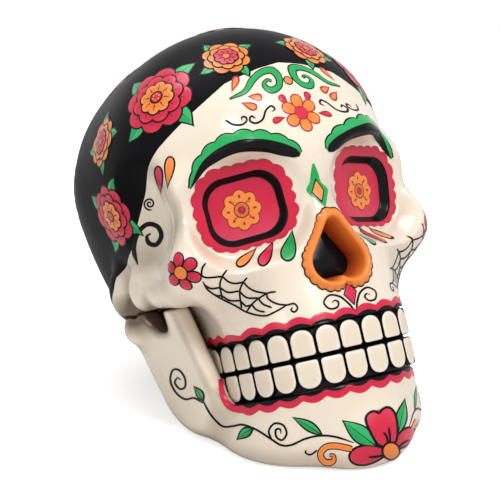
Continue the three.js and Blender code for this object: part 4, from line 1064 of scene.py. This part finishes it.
def paintEyeBand():
    count = eyeBand["scallops"] * 14
    line, way = eyeLoop(0, count)
    way = unit(way)
    upright = np.where(way[:, 1] > 0, eyeBand["top"], eyeBand["bottom"])
    base = eyeBand["side"] * way[:, 0] ** 2 + upright * way[:, 1] ** 2
    wave = np.abs(np.sin(np.pi * eyeBand["scallops"] * np.arange(count) / count))
    reach = base + eyeBand["swell"] * (2 * wave - 1) * np.where(way[:, 1] < -0.6, 0.6, 1)
    share = np.array([0, 0.25, 0.5, 0.75, 0.96, 1])
    grow = -0.1 + (reach[:, None] + 0.1) * share
    grid = onEyePlane(line[:, None] + way[:, None] * grow[..., None], np.zeros((count, len(share))))
    lift = levels["detail"] - levels["fall"] * np.isin(share, (0, 1))
    # painted shade: the band is darker along its upper side, under the brow
    tone = 0.46 - 0.16 * np.clip(way[:, 1:], 0, 1) + 0 * share
    lay({"skin": "cranium", "both": True, "smooth": True}, "crimson", grid, lift, tone, closed=True)


paintEyeBand()

# Flower on the floor of each eye cup
cupFlower = {"pixel": (241.6, 210), "lobes": 8, "reach": 16.5, "swell": 3.2, "rings": (0.2, 0.45, 0.7, 0.95, 1),
             "coats": (("crimson", 0.7, levels["ink"], 0.1), ("orange", -0.3, levels["fill"], 0.55)),
             "discs": ((7.4, "crimson", 0.1, 0), (6.3, "orange", 0.32, 0.1), (3.6, "crimson", 0.08, 0.2),
                       (2.4, "crimson", 0.4, 0.3)), "dots": 12.4, "dotHalf": 1.7, "tailFrom": 7.2,
             "tail": ((0, 0), (1.2, 0.4), (2.6, 0), (3.0, -1.2), (2.2, -1.8))}


def paintCupFlower():
    flat = flatCanvas("cup", seen("cup", cupFlower["pixel"]))
    lobes, share = cupFlower["lobes"], np.array(cupFlower["rings"])
    turn = np.linspace(0, 2 * np.pi, lobes * 14, endpoint=False)
    way = np.stack([np.cos(turn), np.sin(turn)], 1)
    wave = np.abs(np.cos(lobes * turn / 2))
    for colour, grow, level, tone in cupFlower["coats"]:
        reach = cupFlower["reach"] + grow + cupFlower["swell"] * (wave - 0.4)
        lay(flat, colour, way[:, None] * (reach[:, None] * share)[..., None], level, tone, closed=True)
    for radius, colour, tone, level in cupFlower["discs"]:
        disc(flat, colour, (0, 0), radius, levels["detail"] + level, tone)
    inner, outer = cupFlower["dots"] - cupFlower["dotHalf"], cupFlower["dots"] + cupFlower["dotHalf"]
    for k in range(lobes):
        angle = 2 * np.pi * k / lobes
        way = np.array([math.cos(angle), math.sin(angle)])
        line, half = blade(way * inner, way * outer, 2.0, "disc", count=10)
        brush(flat, "crimson", line, half, levels["detail"], 0.1)
        if k % 2:
            axes = np.array([way, [-way[1], way[0]]])
            tail = way * cupFlower["tailFrom"] + np.array(cupFlower["tail"]) @ axes
            inkLine(flat, tail, 0.9, colour="crimson", level=levels["detail"], tone=0.1)


paintCupFlower()


# Ink round the scallops of the nasal rim
def paintNoseLine():
    share = np.array([0, 0.3, 0.7, 1])
    rings = [noseRing(rimEdge - 0.6 + 1.9 * s, 0) for s in share]
    lift = levels["fill"] - levels["fall"] * np.isin(share, (0, 1))
    lay(photoCanvas("cranium", False), "black", np.stack(rings, 1), lift, closed=True)


paintNoseLine()

# Brows: one over each eye, black with a green scalloped border above
brow = {"line": ((190, 189), (206, 164), (234, 147.6), (262, 145.4), (286, 150.5), (300, 155)),
        "half": ((0, 0.4), (0.12, 2.6), (0.3, 5.0), (0.55, 6.2), (0.86, 6.2), (0.96, 4.6), (1, 1.4)),
        "border": ((0, 1), (0.15, 5), (0.4, 9), (0.65, 8), (0.88, 6), (1, 2)), "scallops": 8}


def paintBrow():
    line = flow(brow["line"], 140)
    t = np.linspace(0, 1, len(line))
    half = np.interp(t, *np.array(brow["half"]).T)
    border = np.interp(t, *np.array(brow["border"]).T)
    edge = half + border * (0.72 + 0.4 * np.abs(np.sin(np.pi * brow["scallops"] * t)))
    forehead = photoCanvas("cranium")
    way = unit(np.gradient(line, axis=0))
    side = np.stack([-way[:, 1], way[:, 0]], 1)
    for colour, grow, level, tone in (("black", 1.5, levels["ink"], 0.5), ("green", 0, levels["fill"], 0.52)):
        low = np.maximum(half - 1.6, 0.2)
        middle = line - side * ((edge + grow + low) / 2)[:, None]
        brush(forehead, colour, middle, np.maximum((edge + grow - low) / 2, 0.2), level, tone)
    brush(forehead, "black", line, half, levels["detail"])


paintBrow()

# Forehead
forehead = {
    "drops": (("crimson", (287.5, 104.2), (279.9, 95.9), 5.4), ("crimson", (284.3, 117.6), (273.5, 121.4), 5.4),
              ("orange", (248.6, 96.5), (261.4, 97.8), 6.4), ("orange", (242, 103), (256.3, 108), 6.4),
              ("orange", (232, 91.4), (237, 77), 6)),
    "scroll": ((229.5, 99), (244.8, 91.4), (252.5, 80), (261.4, 72.3), (271.6, 70.4), (278.6, 77.4),
               (278.6, 86.3), (271, 90.2), (263.9, 85), (267, 80), (271.6, 81.2)),
    "curls": (((225, 120), (233.3, 124.6), (242.2, 124.6), (246.7, 120.8), (245.4, 117), (241.6, 117.6),
               (242.2, 120.8)),
              ((255.6, 118.2), (251, 116.3), (249.9, 120.8), (255.6, 123.3), (262.6, 119.5), (265.8, 110.6),
               (271, 106), (274.8, 109.3), (271.6, 111.8))),
    "flower": {"pixel": (301, 113), "petals": 6, "reach": 19, "width": 11.5},
    "dot": ((286.9, 80.6), 4.2)}


def paintForehead():
    bone = photoCanvas("cranium")
    for colour, tip, end, width in forehead["drops"]:
        inked(bone, colour, tip, end, width, edge="crimson", tone=(0.34, 0.6))
    ribbonLine(bone, "green", forehead["scroll"], 6.4, start=0.2, end=0.25)
    for curl in forehead["curls"]:
        inkLine(bone, curl)
    bloom = forehead["flower"]
    at = seen("cranium", bloom["pixel"]) * (0, 1, 1)
    flower(flatCanvas("cranium", at, False), bloom, "orange", ("crimson", 6.2, 0.5), edge="crimson", ink=0.8,
           tone=(0.34, 0.62))
    pixel, radius = forehead["dot"]
    flat = flatCanvas("cranium", seen("cranium", pixel) * (0, 1, 1), False)
    disc(flat, "black", (0, 0), radius + 0.8, levels["ink"])
    disc(flat, "orange", (0, 0), radius - 0.4, levels["fill"], 0.55)


paintForehead()

# Kite between the eyes and diamond under the nose, both on the middle line
kite = {"left": ((312.4, 163.5), (310.6, 173), (309.6, 182), (306.4, 190.6), (314.5, 198.6), (324.4, 206.4)),
        "right": ((314.4, 163.5), (318.2, 173), (321, 182), (327.6, 188.8), (327, 198), (325.6, 206.4)),
        "inLeft": ((315.2, 178.2), (311, 192.6), (321.6, 202.6)),
        "inRight": ((315.6, 178.2), (324.2, 190.6), (322.4, 202.6))}
diamond = {"left": ((346.4, 282.4), (343.2, 294.8), (353.8, 305)),
           "right": ((347.4, 282.4), (356.8, 290.4), (354.8, 305))}
lipScroll = ((355, 311.2), (348.6, 303.6), (339.6, 296.6), (329.4, 295.3), (323.7, 302.3), (329.4, 308.7),
             (337, 307.4), (338.4, 302.3), (334.5, 300.4), (332, 303))


def shrunk(points, share):
    middle = np.mean(points, axis=0)
    return (np.array(points) - middle) * share + middle


def paintMiddle():
    middle = photoCanvas("cranium", False)
    panel(middle, "green", kite["left"], kite["right"], levels["ink"], 0.5, straight=False)
    panel(middle, "black", kite["inLeft"], kite["inRight"], levels["fill"])
    small = shrunk(np.concatenate([kite["inLeft"], kite["inRight"]]), 0.8)
    panel(middle, "orange", small[:3], small[3:], levels["detail"], 0.62)
    panel(middle, "black", diamond["left"], diamond["right"], levels["ink"])
    small = shrunk(np.concatenate([diamond["left"], diamond["right"]]), 0.82)
    panel(middle, "crimson", small[:3], small[3:], levels["fill"], 0.5)
    inkLine(photoCanvas("cranium"), lipScroll, 2.0)


paintMiddle()

# Temple: two drops, a fine coil and a bold one
temple = {"drops": (("crimson", (161, 193.5), (157.8, 166.7), 7.6),
                    ("orange", (167.4, 188), (170.6, 157), 9.5)), "fine": ((149.8, 203.7), 6.6),
          "bold": ((138, 265), (134, 250), (137.5, 234), (147, 224.5), (157.5, 226.5), (161.5, 236),
                   (156.5, 244.5), (149, 243), (147, 236.5), (151, 233.5))}


def paintTemple():
    bone = photoCanvas("cranium")
    for colour, tip, end, width in temple["drops"]:
        inked(bone, colour, tip, end, width)
    inkLine(bone, coil(temple["fine"][0], temple["fine"][1], 1.9, 1.2), 1.7)
    inkLine(bone, temple["bold"], 4.6, 0.2, 0.25)


paintTemple()

# Cheek: drops under the eye, flower, cobweb
cheek = {
    "drops": (("green", (292, 230.4), (285.6, 260.3), 14), ("crimson", (272.8, 241.2), (260, 264.8), 10.5),
              ("orange", (256.3, 247.6), (237, 265.4), 8.5)),
    "flower": {"pixel": (180.6, 273), "petals": 6, "reach": 20, "width": 11.6},
    "strands": (((205.9, 262.9), (202.4, 268), (202, 275.6), (208.4, 277.6), (222.4, 276.3)),
                ((222.4, 276.3), (228, 281.4), (235.2, 283.4), (243.5, 282)),
                ((243.5, 282), (248.5, 287.6), (256, 291.4), (267, 293.5)),
                ((267, 293.5), (268, 298.5), (276, 303.4), (286.2, 305), (294, 303.6), (297.6, 308),
                 (294.6, 312), (291, 310), (292.6, 307.4)),
                ((202.7, 281.4), (208.4, 290.3), (221.2, 298.6), (235.2, 305.6), (248, 312.6), (264.5, 315.8),
                 (276, 311.4), (286.2, 305.6)),
                ((227, 270), (222.4, 276.3), (219.9, 285.2), (222.4, 299.2)),
                ((247.3, 277.6), (243.5, 282), (239.7, 291.6), (241.6, 308)),
                ((276, 291.6), (267, 293.5), (254.3, 301.8), (246.7, 311.4)),
                ((204, 284.6), (211, 288.4), (219.9, 287.5)), ((219.9, 287.5), (228, 292.2), (239, 291)),
                ((239, 291), (247, 297.6), (258.2, 298)), ((258.2, 298), (263, 304), (272, 307.6)),
                ((212.2, 293.5), (217, 295.6), (221.2, 295.4)), ((221.2, 295.4), (230, 300.4), (240.3, 300.5)),
                ((240.3, 300.5), (246, 306), (251.8, 304.6)), ((251.8, 304.6), (257, 310), (265, 312)))}


def paintCheek():
    bone = photoCanvas("cranium")
    for colour, tip, end, width in cheek["drops"]:
        inked(bone, colour, tip, end, width, bend=-1.2, tone=(0.3, 0.75))
    for strand in cheek["strands"]:
        inkLine(bone, strand, 1.9, 0.6, 0.6)
    bloom = cheek["flower"]
    flat = flatCanvas("cranium", seen("cranium", bloom["pixel"]))
    flower(flat, bloom, "crimson", ("orange", 6.2, 0.5), turn=0.1)


paintCheek()

# Lips: a crimson band along each gum, scalloped outside, and the ink that hugs the crowns
lips = {"band": 6.6, "swell": 3.8, "ink": 0.9, "inkSwell": 3.2, "upper": -112.2, "lower": -168.7,
        "upperStart": 1, "lowerStart": 34, "cornerHalf": (4.5, 2.3),
        "ledge": ((6.5, 1.4), (4, 1.4), (1.6, 1.2), (0, 0.6), (-0.6, -0.6)),
        "corner": ((247, 408.6), (239.6, 409), (231, 406.6), (225, 400.4), (221.4, 390), (220.4, 379))}


def paintLip(skinName, level, way, start):
    count = 2 * arch["teeth"] * 14 + 1
    run = np.linspace(start, archLength[-1] - start, count)
    place, out = alongArch(run)
    wave = np.abs(np.sin(np.pi * run / crownPitch))
    ends = np.clip((np.minimum(run, archLength[-1] - run) - start + 3) / 14, 0.2 if way > 0 else 0.5, 1) ** 0.6
    share = np.array([0, 0.15, 0.4, 0.65, 0.88, 1])
    for colour, base, swell, lift in (("crimson", lips["band"], lips["swell"], levels["fill"]),
                                      ("black", lips["ink"], lips["inkSwell"], levels["detail"])):
        inner = (0 * wave if colour == "black" else lips["ink"] + lips["inkSwell"] * wave - 0.4) * ends
        height = level + way * (inner[:, None] + ((base + swell * wave) * ends - inner)[:, None] * share)
        grid = np.concatenate([np.repeat(place[:, None], len(share), 1), height[..., None]], -1)
        lay(photoCanvas(skinName, False), colour, grid, lift - levels["fall"] * (share == 1),
            0.42 + 0.1 * share)
    if way < 0:  # the ledge between the gum and the outer face
        depth, rise = np.array(lips["ledge"]).T
        flat = place[:, None] - out[:, None] * depth[:, None]
        height = np.broadcast_to(level + rise, flat.shape[:2])
        grid = np.concatenate([flat, height[..., None]], -1)
        lay(photoCanvas(skinName, False), "black", grid, levels["fill"])


paintLip("cranium", lips["upper"], 1, lips["upperStart"])
paintLip("jaw", lips["lower"], -1, lips["lowerStart"])
cornerLine = flow(lips["corner"])
cornerHalf = np.linspace(*lips["cornerHalf"], len(cornerLine))
brush(photoCanvas("jaw"), "crimson", cornerLine, cornerHalf, levels["fill"], 0.45)

# Jaw: vine with leaves and coils along the side, flower on the chin
vine = {
    "lines": (((203, 403), (194.2, 398), (185.3, 399.2), (176.4, 392.9), (170.6, 381.4), (172.6, 370.5),
               (179, 370), (184.7, 377.6), (185.3, 386.5), (180.2, 389), (175, 382.7), (177.7, 377.6),
               (180.8, 380)),
              ((203, 400.5), (210.8, 414.5), (222.3, 426), (233.8, 426), (242.7, 424.7), (256.7, 429.8),
               (270.8, 438.8), (281, 445), (291.2, 445), (305.2, 438.8), (320.5, 435.6),
               (335.8, 436.9), (353.7, 442.6)),
              ((272, 440), (268.9, 431), (274.6, 423.5), (283.5, 425.4), (286.7, 433.7), (282.2, 440),
               (276.5, 436.9), (275.9, 429.8), (280.3, 429.2), (281, 433.7))),
    "leaves": (((203, 400.5), (194.2, 387), 6.5), ((253, 428.6), (237.6, 439.4), 9),
               ((321.8, 435), (293, 417.7), 9)),
    "scroll": ((352, 449), (336, 446), (325.5, 447.4), (320.5, 454.6), (325, 462), (333, 461.4),
               (333.6, 455.6), (329.4, 455)),
    "curl": ((317.4, 450), (310.5, 454.6), (305.3, 452.4), (306.5, 450))}
chin = {"heart": ((390.5, 450.6), 8.2),
        "leaves": (((376, 446), (342.8, 420.8), 17), ((398, 434), (404.7, 399.3), 11)),
        "petals": (((389, 451), (349.5, 457.6), 19), ((393, 449), (414, 429.5), 15)),
        "topLeft": ((386, 447), (377.4, 444), (368.5, 428.5), (365.6, 418.5), (369, 413), (374.2, 411.4),
                    (379, 413.6)),
        "topRight": ((388, 447), (396, 440), (397, 426), (394.9, 414.6), (391, 409), (386.7, 407.4),
                     (382, 409.4), (379, 413.6)),
        "veins": (((388, 444), (386, 436), (382.6, 432)), ((389.6, 444), (389.4, 435), (388.2, 427)),
                  ((383, 455), (375, 456.4), (368, 456.8)), ((398, 447), (404, 442), (409.6, 439.6)))}


def paintJaw():
    bone, middle = photoCanvas("jaw"), photoCanvas("jaw", False)
    for line in vine["lines"]:
        inkLine(bone, line, 2.1, 0.6, 0.4)
    for base, tip, width in vine["leaves"]:
        leaf(bone, base, tip, width, 1.0)
    ribbonLine(bone, "orange", vine["scroll"], 6.2, start=0.8, end=0.3)
    inkLine(bone, vine["curl"], 1.8)
    for base, tip, width in chin["leaves"]:
        leaf(middle, base, tip, width, step=0.04)
    for start, end, width in chin["petals"]:
        inked(middle, "crimson", start, end, width, "petal", 1.3, step=0.12, tone=(0.34, 0.56))
    panel(middle, "crimson", chin["topLeft"], chin["topRight"], levels["fill"] + 0.24,
          np.linspace(0.4, 0.62, 30)[:, None], straight=False)
    for side in (chin["topLeft"], chin["topRight"]):
        inkLine(middle, side, 2.5, 1, 1, level=levels["fill"] + 0.4)
    for vein in chin["veins"]:
        inkLine(middle, vein, 2.2, 1, 0.1, level=levels["fill"] + 0.42)
    disc(middle, "black", chin["heart"][0], chin["heart"][1] + 1.2, levels["fill"] + 0.5)
    disc(middle, "orange", chin["heart"][0], chin["heart"][1] - 0.8, levels["fill"] + 0.66, 0.44)


paintJaw()

# Blossoms of the cap: three rings of petals, leaves behind, set out over the sides, top and back
blossoms = {
    "seen": (((157, 98), 36, "crimson", 0.2), ((226, 57), 23, "orange", 0.5), ((102, 142), 24, "orange", 0.9),
             ((112, 216), 30, "crimson", 0.1)),
    "round": ((0, 74, 24, "crimson", 0.0), (180, 46, 42, "crimson", 0.0), (180, -12, 32, "orange", 0.3),
              (138, 20, 34, "orange", 0.5), (150, -32, 24, "crimson", 0.2), (120, 62, 26, "orange", 0.1)),
    "rings": ((8, 0.1, 1.0, 0.68), (8, 0.08, 0.74, 0.5), (8, 0.06, 0.5, 0.34)), "leaves": 4,
    "heart": ((0.19, 1.52), (0.14, 1.66)), "dots": (6, 0.09, 0.026, 1.8), "away": 150}


def blossom(canvas, radius, colour, turn):
    inner = "orange" if colour == "crimson" else "crimson"
    for k in range(blossoms["leaves"]):
        way = around(turn + 0.6, k, blossoms["leaves"])
        leaf(canvas, way * radius * 0.55, way * radius * 1.42, radius * 0.46, radius * 0.06)
    for n, (petals, start, end, width) in enumerate(blossoms["rings"]):
        shade = (colour, colour, inner)[n]
        for k in range(petals):
            way = around(turn + n * math.pi / petals, k, petals)
            step = 0.34 * (n + 1) + 0.05 * (k % 2)
            inked(canvas, shade, way * radius * start, way * radius * end, radius * width, "petal", 0.9,
                  tone=(0.05 + 0.1 * n, 0.6 + 0.04 * n), step=step)
            vein = way * radius * np.linspace(end * 0.45, end * 0.8, 8)[:, None]
            brush(canvas, "black", vein, np.linspace(0.7, 0.15, 8), levels["fill"] + step + 0.1, fine=True)
    for (share, level), tint, tone in zip(blossoms["heart"], ("black", colour), (0.5, 0.4)):
        disc(canvas, tint, (0, 0), radius * share, level, tone)
    count, ring, size, level = blossoms["dots"]
    for k in range(count):
        disc(canvas, inner, around(turn, k, count) * radius * ring, radius * size, level, 0.6)


def paintCap():
    for pixel, radius, colour, turn in blossoms["seen"]:
        blossom(flatCanvas("cranium", seen("cranium", pixel)), radius, colour, turn)
    for azimuth, height, radius, colour, turn in blossoms["round"]:
        a, h = math.radians(azimuth), math.radians(height)
        way = np.array((-math.sin(a) * math.cos(h), -math.cos(a) * math.cos(h), math.sin(h)))
        both = azimuth not in (0, 180)
        place = np.array(cap["centre"]) + way * blossoms["away"]
        blossom(flatCanvas("cranium", place, both), radius, colour, turn)


paintCap()


# Puts every mark on its skin and joins those of one colour and body
def paintAll():
    pots = {}
    for skinName, field in skin.items():
        mine = [mark for mark in marks if mark["canvas"]["skin"] == skinName]
        throughPhoto = [mark["grid"].reshape(-1, 2) for mark in mine
                        if mark["grid"].shape[-1] == 2 and "at" not in mark["canvas"]]
        met = meetSkin(field, np.concatenate(throughPhoto)) if throughPhoto else None
        starts, used = [], 0
        for mark in mine:
            canvas = mark["canvas"]
            flat = mark["grid"].reshape(-1, mark["grid"].shape[-1])
            if flat.shape[1] == 3:
                starts.append(flat)
            elif "at" in canvas:
                starts.append(canvas["at"] + flat[:, :1] * canvas["right"] + flat[:, 1:] * canvas["up"])
            else:
                starts.append(met[used:used + len(flat)])
                used += len(flat)
        placed = settle(field, np.concatenate(starts), 4)
        normals = unit(slopeOf(field, placed))
        if skinName in skinTrees:  # down onto the facets of the skin's mesh
            onFacets = [np.full(mark["lift"].size, "smooth" not in mark["canvas"]) for mark in mine]
            for i in np.flatnonzero(np.concatenate(onFacets)):
                start, way = Vector(placed[i] + normals[i] * 4), Vector(-normals[i])
                hit = skinTrees[skinName].ray_cast(start, way, 8)[0]
                if hit is not None:
                    placed[i] = hit
        placed = placed + normals * np.concatenate([mark["lift"].reshape(-1) for mark in mine])[:, None]
        first = 0
        for mark in mine:
            rows, columns = mark["grid"].shape[:2]
            last = first + rows * columns
            grid, normal = [values[first:last].reshape(rows, columns, 3) for values in (placed, normals)]
            first = last
            turnsOut = np.cross(grid[1:, :-1] - grid[:-1, :-1], grid[:-1, 1:] - grid[:-1, :-1])
            pts, faces = joinRings(grid, False)
            if mark["closed"]:
                end = (rows - 1) * columns
                faces += [(end + i, end + i + 1, i + 1, i) for i in range(columns - 1)]
            if np.sum(turnsOut * normal[:-1, :-1]) > 0:
                faces = [tuple(reversed(face)) for face in faces]
            empty = {"points": [], "faces": [], "shade": [], "count": 0}
            pot = pots.setdefault((skinBody[skinName], mark["colour"]), empty)
            for mirror in ((1, -1) if mark["canvas"]["both"] else (1,)):
                pot["points"].append(pts * (mirror, 1, 1))
                pot["faces"] += [tuple(i + pot["count"] for i in face[::mirror]) for face in faces]
                pot["shade"].append(mark["shade"].reshape(-1))
                pot["count"] += len(pts)
    for (body, colour), pot in sorted(pots.items()):
        makePiece(body + colour.capitalize() + "Paint", np.concatenate(pot["points"]), pot["faces"], [colour],
                  body, shade=np.concatenate(pot["shade"]))


paintAll()
print("ornament:", len(marks), "marks")

# Metal, nylon, board and rubber of the carried hardware
hardware = {"zinc_steel": ("b9bcc0", 0.34, 1.0, 900), "nylon": ("dcd7c8", 0.5, 0.0, 500),
            "base_board": ("1b1a19", 0.75, 0.0, 260), "pad_rubber": ("161616", 0.85, 0.0, 700)}


def hardwareFinish(name, colour, roughness, metal, grain):
    material, tree, shader = freshMaterial(name, {"Metallic": metal})
    place = addNode(tree, "ShaderNodeTexCoord")
    noise = addNode(tree, "ShaderNodeTexNoise", {"Scale": grain})
    tone = addNode(tree, "ShaderNodeValToRGB")
    base = np.array(srgb(colour))[:3]
    for stop, share in zip(tone.color_ramp.elements, (0.8, 1.15)):
        stop.color = tuple(np.minimum(base * share, 1)) + (1,)
    rough = addNode(tree, "ShaderNodeMapRange", {"To Min": roughness - 0.08, "To Max": roughness + 0.08})
    bump = addNode(tree, "ShaderNodeBump", {"Strength": 0.15, "Distance": 0.0002})
    wire(tree, (place, "Object", noise, "Vector"), (noise, "Fac", tone, "Fac"), (noise, "Fac", rough, "Value"),
         (noise, "Fac", bump, "Height"), (tone, "Color", shader, "Base Color"),
         (rough, "Result", shader, "Roughness"), (bump, "Normal", shader, "Normal"))
    return material


finishes = {slot: hardwareFinish(slot + "Finish", *values) for slot, values in hardware.items()}
for part in frame["record"]["subparts"]:
    if part["material_slot"] in finishes:
        for held in frame["nodes"][part["node"]].material_slots:
            held.material = finishes[part["material_slot"]]
print("hardware:", len(finishes), "finishes")

# Studio: a pale floor that fades to white for the camera away from the part, white surroundings, soft light
studio = {"floor": "f6f5f3", "floorHalf": 2.4, "glow": 0.62, "glowFrom": 0.5, "glowFull": 1.1, "world": 0.24,
          "aim": (0, 0, 0.2),
          "lamps": (("key", (0.15, -1.5, 2.1), 0.7, 36.0), ("fill", (-2.0, -0.7, 1.1), 0.8, 6.0),
                    ("top", (-0.3, 0.5, 2.2), 1.0, 18.0))}


def paleFloor():
    material, tree, shader = freshMaterial("paleFloor", {
        "Base Color": srgb(studio["floor"]), "Roughness": 0.9, "Specular IOR Level": 0.1,
        "Emission Color": (1, 1, 1, 1)})
    path = addNode(tree, "ShaderNodeLightPath")
    place = addNode(tree, "ShaderNodeTexCoord")
    away = addNode(tree, "ShaderNodeVectorMath", operation="LENGTH")
    fade = addNode(tree, "ShaderNodeMapRange", {"From Min": studio["glowFrom"], "From Max": studio["glowFull"],
                                                "To Min": studio["glow"], "To Max": 1.0})
    glow = addNode(tree, "ShaderNodeMath", operation="MULTIPLY")
    wire(tree, (place, "Object", away, 0), (away, "Value", fade, "Value"), (path, "Is Camera Ray", glow, 0),
         (fade, "Result", glow, 1), (glow, 0, shader, "Emission Strength"))
    half = studio["floorHalf"]
    mesh = bpy.data.meshes.new("floor")
    corners = [(-half, -half, 0), (half, -half, 0), (half, half, 0), (-half, half, 0)]
    mesh.from_pydata(corners, [], [(0, 1, 2, 3)])
    mesh.materials.append(material)
    floorPiece = bpy.data.objects.new("floor", mesh)
    bpy.context.scene.collection.objects.link(floorPiece)


def whiteWorld():
    world = bpy.data.worlds.new("studio")
    bpy.context.scene.world = world
    world.use_nodes = True
    tree = world.node_tree
    sky = tree.nodes["Background"]
    sky.inputs["Color"].default_value = (1, 1, 1, 1)
    path = addNode(tree, "ShaderNodeLightPath")
    seenWhite, through = [addNode(tree, "ShaderNodeMath", operation="MAXIMUM") for _ in range(2)]
    strength = addNode(tree, "ShaderNodeMapRange", {"To Min": studio["world"], "To Max": 1.0})
    wire(tree, (path, "Is Camera Ray", seenWhite, 0), (path, "Is Glossy Ray", seenWhite, 1),
         (seenWhite, 0, through, 0), (path, "Is Transmission Ray", through, 1),
         (through, 0, strength, "Value"), (strength, "Result", sky, "Strength"))


def softLight(name, place, size, power):
    data = bpy.data.lights.new(name, "AREA")
    data.shape = "RECTANGLE"
    data.size = data.size_y = size
    data.energy = power
    lamp = bpy.data.objects.new(name, data)
    lamp.location = place
    lamp.rotation_euler = (Vector(studio["aim"]) - Vector(place)).to_track_quat("-Z", "Y").to_euler()
    bpy.context.scene.collection.objects.link(lamp)


paleFloor()
whiteWorld()
for values in studio["lamps"]:
    softLight(*values)

bpy.context.scene.view_settings.view_transform = "Standard"
bpy.context.view_layer.update()
